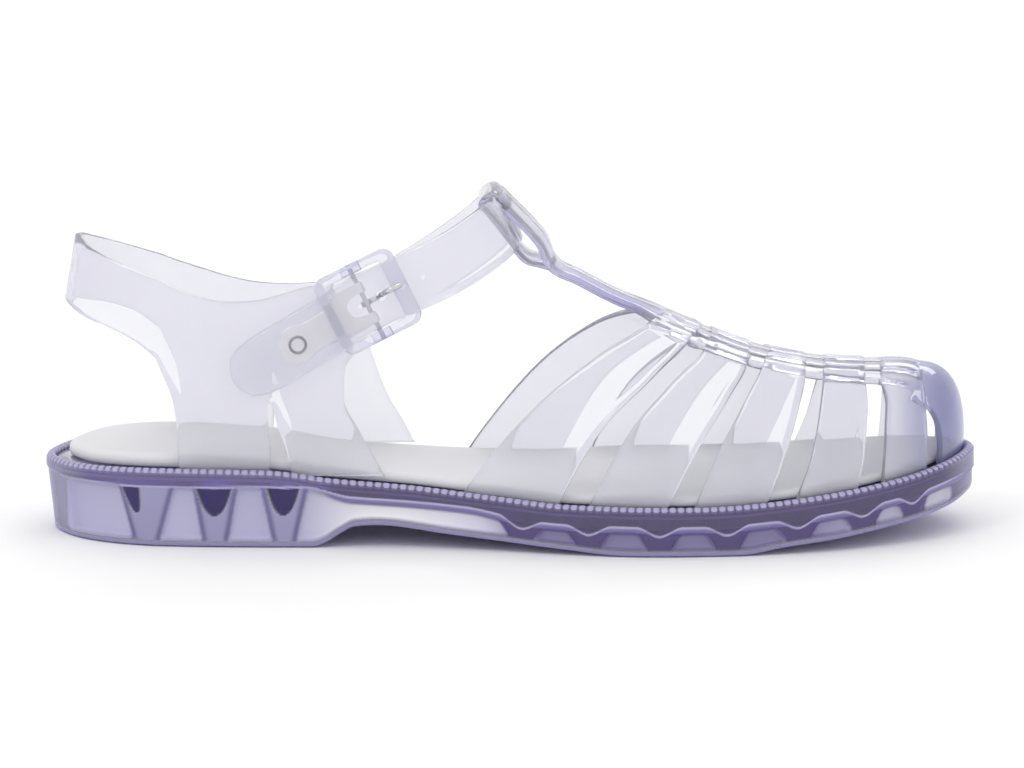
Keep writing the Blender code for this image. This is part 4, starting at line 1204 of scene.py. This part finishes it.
def rim_bead():
    """The rolled bead round the rim, with its moulded stitches and painted shade in their gaps and on the
    bead's underside.
    """
    stations, total = fine_loop(STITCH_PITCH / 8)
    stitches = round(total / STITCH_PITCH)
    low = BEAD_RADIUS - STITCH_HEIGHT
    sections, tones = [], []
    for point, normal, at in stations:
        share = at / total * stitches % 1.0
        radius = low + STITCH_HEIGHT * ease(0.12, 0.3, share) * ease(0.12, 0.3, 1 - share)
        gap = 1 - ease(0.06, 0.19, share) * ease(0.06, 0.19, 1 - share)
        centre = point + normal * (BEAD_RADIUS + BEAD_GAP)
        height = rim_height(centre.x) - BEAD_RADIUS - BEAD_GAP
        section = []
        for cos, sin in turns(14):
            out, up = radius * cos, radius * sin
            if up < 0:
                out, up = low * cos, 0.9 * BEAD_RADIUS * sin
            section.append(inward(centre, normal, -out, height + up))
            # painted shade: darker in the gaps between stitches and on the underside, not on the inner side
            stitch_shade = max(gap * ease(-0.3, 0.1, up / radius), ease(0.1, 0.6, -up / radius))
            tones.append(mixed(BEAD_TONE, STITCH_SHADE_TONE, stitch_shade * ease(-0.7, -0.2, out / radius)))
        sections.append(section)
    made = smooth(closed_ring("rim_bead", sections), 50)
    return toned(made, lambda i, _: tones[i])


def window_limits():
    """For each window of the side: its rear and front edges, at the band and at the foot."""
    edges = [(along_x(0) + HEEL_WINDOW_END, along_x(0) + HEEL_WINDOW_END)]
    for along, top, foot in PILLARS:
        x = along_x(along)
        edges.append((x - top / 2, x - foot / 2))
        edges.append((x + top / 2, x + foot / 2))
    edges.append((along_x(1) - TOE_WINDOW_END, along_x(1) - TOE_WINDOW_END))
    return [(edges[k], edges[k + 1]) for k in range(0, len(edges), 2)]


def band_edge(x):
    """Height of the dark band's lower edge."""
    heel = HEEL_STACK - HEEL_BAND_HEIGHT
    waist = rim_height(x) - WAIST_BAND_HEIGHT + 0.0007 * ease(0.33, 0.48, share_of(x))
    front = rim_height(x) - BAND_HEIGHT
    share = share_of(x)
    return blend(blend(heel, waist, ease(0.27, 0.33, share)), front, ease(0.45, 0.52, share))


def plate_top(x):
    return underside(x) + PLATE_HEIGHT


WINDOWS = window_limits()


def inside_window(x, z):
    """Distance in from the nearest edge of a window, minus outside all of them."""
    best = -1.0
    top, foot = band_edge(x) - 0.0002, plate_top(x)
    share = (top - z) / max(top - foot, 1e-4)
    cap = min(top - z, z - foot)
    for rear, front in WINDOWS:
        side = min(x - blend(*rear, share), blend(*front, share) - x)
        if side <= 0 or cap <= 0:
            continue
        a, b = max(WINDOW_CORNER - side, 0.0), max(WINDOW_CORNER - cap, 0.0)
        inside = WINDOW_CORNER - math.hypot(a, b) if a and b else min(side, cap, WINDOW_CORNER)
        best = max(best, inside)
    return best


def taper(x):
    return HEEL_TAPER * (1 - ease(0.02, 0.30, share_of(x)))


def highlight_line_height(x):
    """Height of the painted highlight line under the dark band, which dips at each pillar of the forefoot.
    """
    dip = 0.0
    for along, top, _ in PILLARS[3:]:
        dip = max(dip, 1 - ease(0.0, top / 2 + 0.0008, abs(x - along_x(along))))
    return band_edge(x) + LINE_RISE * ease(0.27, 0.33, share_of(x)) - LINE_DIP * dip


def lobe(x, z):
    """1 inside the lobes, 0 outside."""
    best = 0.0
    for along, half, drop in LOBES:
        down = max((band_edge(x) + 0.0012 - z) / drop, 0.0)
        if down < 1:
            width = half * (1 - 0.55 * down) * math.sqrt(1 - down**6)
            off = x - along_x(along) - (0.0022 * down if along < 0.1 else 0.0)
            best = max(best, ease(-0.0005, 0.0004, width - abs(off)))
    return best


def on_ledge(point):
    """Whether a point of the sole lies inside the bead, at the height of the seat."""
    if abs(point.z - rim_height(point.x) + SEAT_DEPTH) > 0.0004:
        return False
    return min((point.xy - edge.xy).length_squared for edge in LOOP[::2]) > (0.9 * BEAD_WIDTH) ** 2


def flank_shade(x, z):
    """1 along the slanted sides of the heel's pillars, where shade is painted next to the recessed windows,
    falling off inside them.
    """
    share = (band_edge(x) - z) / max(band_edge(x) - plate_top(x), 0.001)
    best = 0.0
    for along, top, foot in PILLARS[:3]:
        inset = blend(top, foot, min(max(share, 0.0), 1.0)) / 2 - abs(x - along_x(along))
        if inset > -0.0005:
            best = max(best, 1 - ease(0.0002, 0.0016, inset))
    return best


def sole_tone(_, point):
    """Dark band, a painted highlight line with a lip of painted shade under it, frosted windows with
    painted light and shade, lobes over pale posts at the heel with painted shade along the posts' sides.
    """
    x, z = point.x, point.z
    share = share_of(x)
    ends = ease(0.0, 0.05, share) * ease(0.0, 0.04, 1 - share)
    heel = 1 - ease(0.295, 0.315, share)
    line, edge, plate = highlight_line_height(x), band_edge(x), plate_top(x)
    band = ease(-0.0002, 0.0003, z - line) * ease(0.0008, 0.0016, rim_height(x) - z)
    tone = mixed((1.0, 1.0, 1.0, 0.0), mixed(BAND_TONE, HEEL_BAND_TONE, heel), 0.9 * band * ends)
    over_plate = ease(0.0, 0.0006, z - plate)
    foot = over_plate * (1 - band)
    tone = mixed(tone, END_TONE, (1 - ends) * over_plate)
    # painted shade along the pillars' sides
    post = mixed(POST_TONE, FLANK_SHADE_TONE, 0.8 * flank_shade(x, z))
    tone = mixed(tone, post, heel * foot * ends * (1 - lobe(x, z)))
    tone = mixed(tone, FRONT_POST_TONE, (1 - heel) * foot * ends)
    # painted shade: a dark lip along the band's step, under the highlight line
    lip = ease(-0.0006, 0.0, z - edge) * (1 - ease(-0.0003, 0.0002, z - line))
    tone = mixed(tone, LIP_SHADE_TONE, lip * (1 - heel))
    # painted light and shade: the windows darker at the top under the band, lighter towards the foot
    down = 1 - (z - plate) / max(edge - plate, 0.001)
    pale = [curve(WINDOW_TONES_AND_LIGHT, share, k) * (0.9 + 0.14 * down) for k in (1, 2, 3)]
    tone = mixed(tone, (*pale, 1.0), ease(-0.0002, 0.0011, inside_window(x, z)))
    tone = mixed(tone, PLATE_TONE, 1 - ease(-0.0003, 0.0004, z - plate))
    # painted highlight: the light line along the band
    tone = mixed(tone, HIGHLIGHT_LINE_TONE, (1 - ease(0.0001, 0.0005, abs(z - line))) * ends)
    return LEDGE_TONE if on_ledge(point) else tone


def skinned(name, sections, angle):
    """A skin over equal sections that go round the sole, capped across at their first and last points."""
    count, total = len(sections[0]), len(sections)
    points = [point for section in sections for point in section]
    faces = quads(total, count, round_columns=False)
    for ring in (0, count - 1):
        for k in range(total // 2 - 1):
            across = (k, k + 1, (total - k - 1) % total, (total - k) % total)
            faces.append([place * count + ring for place in across])
    return smooth(built(name, points, faces), angle)


def outsole():
    """The sole: a grid down its side with recessed windows, then its rim, ledge and seat."""
    rail = STRAP_INSET - WALL / 2 + FLANGE_WIDTH + 3 * CLEARANCE
    sections = []
    for point, normal, _ in fine_loop(SOLE_GRID)[0]:
        x = point.x
        base, slope, edge, rim = underside(x), taper(x), band_edge(x), rim_height(x)
        low, high = plate_top(x), rim - SIDE_TOP
        profile = [
            (0.0032, base),
            (0.0014 + slope, base),
            (0.0007 + slope, base + 0.0003),
            (0.0005 + slope, base + 0.0009),
        ]
        for up in shares(36):
            z = blend(low, high, up)
            share = (z - low) / max(edge - low, 0.001)
            recess = ease(-0.0002, 0.0013, inside_window(x, z))
            below = 1 - ease(-0.0002, 0.0006, z - edge)
            inset = POST_DEPTH * below + (WINDOW_DEPTH - POST_DEPTH) * recess
            profile.append((inset + slope * max(1 - share, 0.0), z))
        profile += [
            (0.0004, rim - 0.0010),
            (0.0012, rim - 0.0011),
            (BEAD_WIDTH, rim - BEAD_STEP),
            (BEAD_WIDTH, rim - SEAT_DEPTH),
            (rail, rim - SEAT_DEPTH),
            (rail, rim - FLANGE_DROP),
        ]
        sections.append([inward(point, normal, inset, z) for inset, z in profile])
    return skinned("outsole_body", sections, 45)


def cavity(number, rear, front):
    """Hollow behind one window, from one side of the sole to the other."""
    stations, rows = 26, 8
    grid, points, faces = {}, [], []
    for s in range(stations + 1):
        for r in range(rows + 1):
            share = r / rows
            x = blend(blend(*rear, share) + CAVITY_GAP, blend(*front, share) - CAVITY_GAP, s / stations)
            z = blend(band_edge(x) - 0.0004, plate_top(x) + 0.0002, share)
            for side in (OUTER, INNER):
                place = rim_point(side, x, WINDOW_DEPTH + CAVITY_WALL + taper(x) * share)
                grid[s, r, side] = len(points)
                points.append(Vector((place.x, place.y, z)))

    def face(*corners):
        faces.append([grid[corner] for corner in corners])

    for s in range(stations):
        for r in range(rows):
            for side in (OUTER, INNER):
                face((s, r, side), (s + 1, r, side), (s + 1, r + 1, side), (s, r + 1, side))
    for s in range(stations):
        for r in (0, rows):
            face((s, r, OUTER), (s + 1, r, OUTER), (s + 1, r, INNER), (s, r, INNER))
    for r in range(rows):
        for s in (0, stations):
            face((s, r, OUTER), (s, r + 1, OUTER), (s, r + 1, INNER), (s, r, INNER))
    return built(f"cavity_{number}", points, faces)


def hollowed(sole):
    """Adds the inward-facing walls of the hollows to the sole's own mesh."""
    shape = bmesh.new()
    shape.from_mesh(sole.data)
    for number, (rear, front) in enumerate(WINDOWS):
        made = cavity(number, rear, front)
        hollow = bmesh.new()
        hollow.from_mesh(made.data)
        bmesh.ops.reverse_faces(hollow, faces=hollow.faces)
        hollow.to_mesh(made.data)
        hollow.free()
        shape.from_mesh(made.data)
        bpy.data.objects.remove(made)
    shape.to_mesh(sole.data)
    shape.free()
    return smooth(sole, 45)


def insole_base(x):
    return rim_height(x) - FLANGE_DROP + CLEARANCE


def insole_top(x):
    return insole_base(x) + INSOLE_THICKNESS + HEEL_CUSHION * (1 - ease(0.12, 0.42, share_of(x)))


def insole():
    sections = []
    for point, normal, _ in fine_loop(INSOLE_SPACING)[0]:
        section = []
        for inset, share in INSOLE_SIDE:
            place = point + normal * (INSOLE_INSET + inset)
            height = blend(insole_base(place.x), insole_top(place.x), share)
            section.append(Vector((place.x, place.y, height)))
        sections.append(section)
    return skinned("insole_pad", sections, 60)


def hole_distances():
    """Distances of the strap's holes from the axle: one behind it, the rest towards the instep."""
    return [(0.3 - k) * HOLE_PITCH for k in range(4)]


def buckle_axes():
    """Centre of the axle, and the ways along the strap to its free end, across it and outwards."""
    middle = ankle_middle(AXLE_PLACE)
    width = (ankle_point(AXLE_PLACE, 0.004) - ankle_point(AXLE_PLACE, -0.004)).normalized()
    run = ankle_middle(AXLE_PLACE + 0.2) - ankle_middle(AXLE_PLACE - 0.2)
    run = (run - width * run.dot(width)).normalized()
    normal = run.cross(width)
    return (middle, run, width, normal) if normal.y < 0 else (middle, run, width, -normal)


def placed(points):
    """Buckle positions (along to the free end, across, out from the strap's middle) in space."""
    middle, run, width, normal = buckle_axes()
    return [middle + run * a + width * b + normal * c for a, b, c in points]


STRAP_FACE = WALL / 2 + CLEARANCE
AXLE_OUT = -(STRAP_FACE + AXLE_RADIUS + CLEARANCE + KNUCKLE_WALL + CLEARANCE)
PLATE_OUT = -(STRAP_FACE + PLATE_THICKNESS / 2)


def plate_half(along):
    """Half the plate's width at this distance from the axle: wide, a neck, a round end."""
    past = along - PLATE_REACH
    if past > -0.6 * PLATE_END_RADIUS:
        return math.sqrt(max(PLATE_END_RADIUS**2 - past**2, PLATE_TIP**2))
    neck = ease(0.0085, 0.0120, along)
    end = ease(PLATE_REACH - 2 * PLATE_END_RADIUS, PLATE_REACH - 0.6 * PLATE_END_RADIUS, along)
    return blend(blend(PLATE_WIDTH / 2, PLATE_NECK / 2, neck), 0.8 * PLATE_END_RADIUS, end)


def rivet_axes():
    """Middle of the strap above the rivet, and two ways along the plate and one out of it."""
    place = strap_place(PLATE_REACH)
    middle = ankle_point(place, PROBE)
    along = (ankle_middle(place + 0.1) - ankle_middle(place - 0.1)).normalized()
    out = (ankle_point(place, PROBE, WALL) - middle).normalized()
    return middle, along, out.cross(along).normalized(), out


def rivet_circle(radius, out):
    middle, along, across, normal = rivet_axes()
    points = []
    for cos, sin in turns(RIVET_SIDES):
        point = middle + along * radius * cos + across * radius * sin
        points.append(point + normal * out)
    return points


def extruded(name, outline, low, high):
    """A closed prism in the buckle's axes from an outline of (along, across)."""
    count = len(outline)
    points = placed([(a, b, out) for out in (low, high) for a, b in outline])
    faces = [range(count), range(2 * count - 1, count - 1, -1)]
    for i in range(count):
        j = (i + 1) % count
        faces.append((i, j, count + j, count + i))
    return built(name, points, faces)


def across_tube(name, along, out, outer, inner, low, high):
    """A tube, or with no inner radius a pin, lying across the strap."""
    soft = TUBE_ROUND
    rings = [(low, outer - soft), (low + soft, outer), (high - soft, outer), (high, outer - soft)]
    if inner:
        rings += [(high, inner), (low, inner)]
    sections = []
    for cos, sin in turns(TUBE_SIDES):
        sections.append(placed([(along + radius * cos, b, out + radius * sin) for b, radius in rings]))
    if inner:
        return closed_ring(name, sections)
    points = [point for section in sections for point in section]
    faces = quads(TUBE_SIDES, len(rings), round_columns=False)
    faces += [range(end, len(points), len(rings)) for end in (0, len(rings) - 1)]
    return built(name, points, faces)


def bevelled(made, width):
    step = made.modifiers.new("edge", "BEVEL")
    step.width = width
    step.segments = 3
    step.limit_method = "ANGLE"
    return settled(made)


def buckle_plate():
    start, end = PLATE_START, PLATE_REACH + 0.985 * PLATE_END_RADIUS
    grid = []
    for turn in shares(60):
        along = blend(start, end, math.sin(turn * math.pi / 2))
        half = plate_half(along)
        place = strap_place(along)
        across = places_across(2 * half, 8, radius=PLATE_ROUND)
        grid.append([ankle_point(place, (2 * share - 1) * half + 1e-7, PLATE_OUT) for share in across])
    plate = slab("buckle_plate_body", grid, PLATE_THICKNESS, radius=PLATE_ROUND, ends=(False, True))
    bore = AXLE_RADIUS + CLEARANCE
    radius = bore + KNUCKLE_WALL
    pieces = []
    for name, side in (("rear_knuckle", -1), ("front_knuckle", 1)):
        low, high = sorted((side * (PLATE_WIDTH / 2 - KNUCKLE_WIDTH), side * PLATE_WIDTH / 2))
        pieces.append(across_tube(name, 0, AXLE_OUT, radius, bore, low, high))
        near, far = low + TAB_INSET, high - TAB_INSET
        tab = [(TAB_FAR, near), (TAB_FAR, far), (TAB_NEAR, far), (TAB_NEAR, near)]
        face = PLATE_OUT - 0.0001
        thick = 0.4 * PLATE_THICKNESS
        pieces.append(extruded(name + "_tab", tab, face - thick, face + thick))
    notch = [(0.0, -NOTCH_WIDTH / 2), (0.0, NOTCH_WIDTH / 2)]
    for k in range(1, 24):
        angle = math.pi * (0.5 - k / 24)
        notch.append((NOTCH_DEPTH + NOTCH_WIDTH / 2 * math.cos(angle), NOTCH_WIDTH / 2 * math.sin(angle)))
    joined(plate, "DIFFERENCE", [extruded("prong_notch", notch, PLATE_OUT - 0.003, PLATE_OUT + 0.003)])
    joined(plate, "UNION", pieces)
    return plate


def rivet():
    """The hollow rivet's domed ring with its dark bore."""
    bottom = PLATE_OUT - PLATE_THICKNESS / 2
    head = PLATE_OUT + PLATE_THICKNESS / 2
    rings = (
        (RIVET_BORE, bottom),
        (RIVET_BORE, head),
        (RIVET_BORE + RIVET_SLOPE, head + RIVET_SHOULDER),
        (blend(RIVET_BORE, RIVET_RADIUS, 0.5), head + RIVET_DOME),
        (RIVET_RADIUS - RIVET_SLOPE, head + RIVET_SHOULDER),
        (RIVET_RADIUS, head),
        (RIVET_RADIUS, bottom),
    )
    circles = [rivet_circle(radius, out) for radius, out in rings]
    return smooth(closed_ring("rivet_ring", list(zip(*circles))), 60)


def rounded_box(rear, front, reach, corner):
    """Corners of a rounded rectangle in the buckle's axes."""
    points = []
    for cx, cy, turn in (
        (rear - corner, reach - corner, 0.0),
        (-front + corner, reach - corner, 0.5),
        (-front + corner, -reach + corner, 1.0),
        (rear - corner, -reach + corner, 1.5),
    ):
        for share in shares(8):
            angle = math.pi * (turn + share / 2)
            points.append((cx + corner * math.cos(angle), cy + corner * math.sin(angle)))
    return points


def buckle_frame():
    low = WALL / 2 + 2 * CLEARANCE
    half = FRAME_WIDTH / 2
    inner = ANKLE_STRAP_WIDTH / 2 + 2 * CLEARANCE
    outside = rounded_box(FRAME_REACH + REAR_BAR / 2, FRAME_REACH + FRONT_BAR / 2, half, FRAME_CORNER)
    rear, front = FRAME_REACH - REAR_BAR / 2, FRAME_REACH - FRONT_BAR / 2
    inside = rounded_box(rear, front, inner, FRAME_INNER_CORNER)
    sections = []
    for (a, b), (c, d) in zip(outside, inside):
        section = []
        for cos, sin in turns(20):
            side = math.copysign(abs(cos) ** 0.5, cos)
            rise = math.copysign(abs(sin) ** 0.5, sin)
            share = 0.5 + 0.5 * side
            out = low + FRAME_THICKNESS * (0.5 + 0.5 * rise)
            section.append((blend(c, a, share), blend(d, b, share), out))
        sections.append(placed(section))
    made = closed_ring("buckle_frame_body", sections)
    ears = []
    for name, side in (("rear_ear", -1), ("front_ear", 1)):
        near, far = sorted((side * (inner + 0.0001), side * (half - 0.0002)))
        end = EAR_LENGTH / 2
        ear = [(-end, near), (-end, far), (end, far), (end, near)]
        ear_low = AXLE_OUT - AXLE_RADIUS - EAR_WALL
        ears.append(bevelled(extruded(name, ear, ear_low, low + 0.001), EAR_ROUND))
    joined(made, "UNION", ears)
    return made


def buckle_prong():
    bore = AXLE_RADIUS + CLEARANCE
    made = across_tube("buckle_prong_body", 0, AXLE_OUT, bore + KNUCKLE_WALL, bore, -PRONG_HALF, PRONG_HALF)
    hole = hole_distances()[1]
    bend = hole - 0.0025
    top = WALL / 2 + 2 * CLEARANCE + FRAME_THICKNESS + CLEARANCE + PRONG_RADIUS
    tip = -(FRAME_REACH + 0.2 * FRONT_BAR)
    path = [
        (-0.0011, AXLE_OUT - 0.0001),
        (hole + 0.0009, AXLE_OUT + 0.0001),
        (hole, -0.0004),
        (hole - 0.0004, WALL / 2 + 0.0009),
        (bend, top),
        (blend(bend, tip, 0.5), top),
        (tip, top),
    ]
    path = [Vector((a, c)) for a, c in path]
    last = len(path) - 1
    steps, sides = 60, 18
    points = []
    for share in shares(steps):
        at = share * last
        centre = spline_point(path, at)
        run = spline_point(path, min(at + 0.03, last)) - spline_point(path, max(at - 0.03, 0))
        run.normalize()
        left = (path[-1] - centre).length
        radius = PRONG_RADIUS * math.sqrt(max(1 - (1 - min(left / PRONG_RADIUS, 1.0)) ** 2, 0.02))
        for cos, sin in turns(sides):
            side = Vector((-run.y, run.x)) * radius * sin
            points.append((centre.x + side.x, 1.15 * radius * cos, centre.y + side.y))
    faces = [range(sides), range(steps * sides, len(points))]
    faces += quads(steps + 1, sides, round_rows=False)
    joined(made, "UNION", [built("prong_tongue", placed(points), faces)])
    return made


def upper():
    body = flange()
    pieces = [cross_strap(i) for i in range(len(CROSS_STRAPS))]
    pieces += [strand(i) for i in range(STRANDS)]
    pieces += [toe_band(), heel_wall(), t_strap(), loop_back(), ankle_strap()]
    joined(body, "UNION", pieces)
    cutters = []
    for k, distance in enumerate(hole_distances()):
        radius = PRONG_HOLE / 2 if k == 1 else STRAP_HOLE / 2
        cutters.append(strap_hole(k + 1, strap_place(distance), radius))
    joined(body, "DIFFERENCE", cutters)
    return body


def upper_tone(_, point):
    """Clear straps, deeper round the toe, and painted shade on the outer half of the T-strap."""
    x, y, z = point
    tone = mixed(STRAP_TONE, TOE_TONE, ease(0.106, 0.126, x))
    aside = ridge_side(x) - y
    near = ease(0.0, 0.004, aside) * (1 - ease(0.008, 0.010, aside)) * ease(0.0, 0.03, x)
    # painted shade on the T-strap's outer half
    return mixed(tone, T_STRAP_SHADE_TONE, near * (1 - ease(0.034, 0.048, x)) * ease(0.050, 0.054, z))


def dressed(made, node, look):
    """Hangs a finished piece on the object in place of its solid."""
    made.data.materials.clear()
    made.data.materials.append(look)
    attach(made, "root")
    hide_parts(node)


def aimed(made, place, way):
    """Puts a light or the camera at a place, looking this way."""
    made.location = place
    made.rotation_mode = "QUATERNION"
    made.rotation_quaternion = way.to_track_quat("-Z", "Y")


def area_light(name, place, target, size, power):
    light = bpy.data.lights.new(name, "AREA")
    light.shape = "RECTANGLE"
    light.size, light.size_y = size
    light.energy = power
    aimed(new_object(name, light), place, Vector(target) - Vector(place))



def soft_pvc(name, rough, frosted, tint, density):
    made = material(name, (1, 1, 1), rough, transmission=1.0, ior=PVC_IOR)
    return absorbing(painted(made, rough, frosted), tint, density)


clear = soft_pvc("clear_pvc", 0.02, 0.1, STRAP_TINT, STRAP_ABSORPTION)
tinted = grained(soft_pvc("sole_pvc", 0.03, FROST, SOLE_TINT, SOLE_ABSORPTION), 1400.0, 0.12)
frame_look = material("clear_hard", (0.90, 0.90, 0.95), 0.02, transmission=0.85, ior=1.49)
absorbing(frame_look, STRAP_TINT, STRAP_ABSORPTION)
pad_look = grained(material("insole_sock", (0.74, 0.74, 0.76), 0.55), 2600.0, 0.25)
plate_look = material("nickel_plate", (1.0, 0.985, 0.96), 0.25, metallic=1.0)
pin_look = material("bright_pin", (0.62, 0.62, 0.65), 0.12, metallic=1.0)
ring_look = material("rivet_ring_metal", (0.42, 0.42, 0.44), 0.3, metallic=1.0)

dressed(toned(hollowed(outsole()), sole_tone), "outsole", tinted)
dressed(rim_bead(), "outsole", tinted)
dressed(toned(upper(), upper_tone), "upper", clear)
cushion = insole()
dressed(cushion, "insole", pad_look)
dressed(buckle_plate(), "buckle_plate", plate_look)
dressed(rivet(), "rivet", ring_look)
dressed(buckle_frame(), "buckle_frame", frame_look)
dressed(buckle_prong(), "buckle_prong", pin_look)
reach = FRAME_WIDTH / 2 - EAR_WALL - CLEARANCE
axle = smooth(across_tube("buckle_pin", 0, AXLE_OUT, AXLE_RADIUS, 0, -reach, reach))
dressed(axle, "buckle_axle", pin_look)

# Floor, light and camera
floor_corners = [Vector((x, y, -0.0002)) for x, y in ((-9, -9), (9, -9), (9, 9), (-9, 9))]
floor = built("floor", floor_corners, [(0, 1, 2, 3)], outward=False)
floor.data.materials.append(material("floor_white", (0.95, 0.95, 0.95), 0.9))

world = bpy.data.worlds.new("studio")
bpy.context.scene.world = world
world.use_nodes = True
world.node_tree.nodes["Background"].inputs["Color"].default_value = (1.0, 1.0, 1.0, 1.0)
world.node_tree.nodes["Background"].inputs["Strength"].default_value = 1.0
bpy.context.scene.view_settings.view_transform = "Standard"

area_light("key", (-0.7, -0.9, 1.3), (0, 0, 0.03), (0.35, 0.35), 2.6)
area_light("back", (0.4, 1.2, 1.0), (0, 0, 0.03), (0.8, 0.25), 2.6)

ELEVATION = math.radians(10.9)
DISTANCE = 4.0
TARGET = Vector((0.00043, 0.0, 0.0409))
camera = bpy.data.cameras.new("camera")
camera.sensor_width = 36.0
camera.lens = 123.7 * DISTANCE
camera.clip_start = 0.1
camera.clip_end = 60.0
viewer = new_object("camera", camera)
back_off = Vector((0, -math.cos(ELEVATION), math.sin(ELEVATION)))
aimed(viewer, TARGET + back_off * DISTANCE, -back_off)
bpy.context.scene.camera = viewer
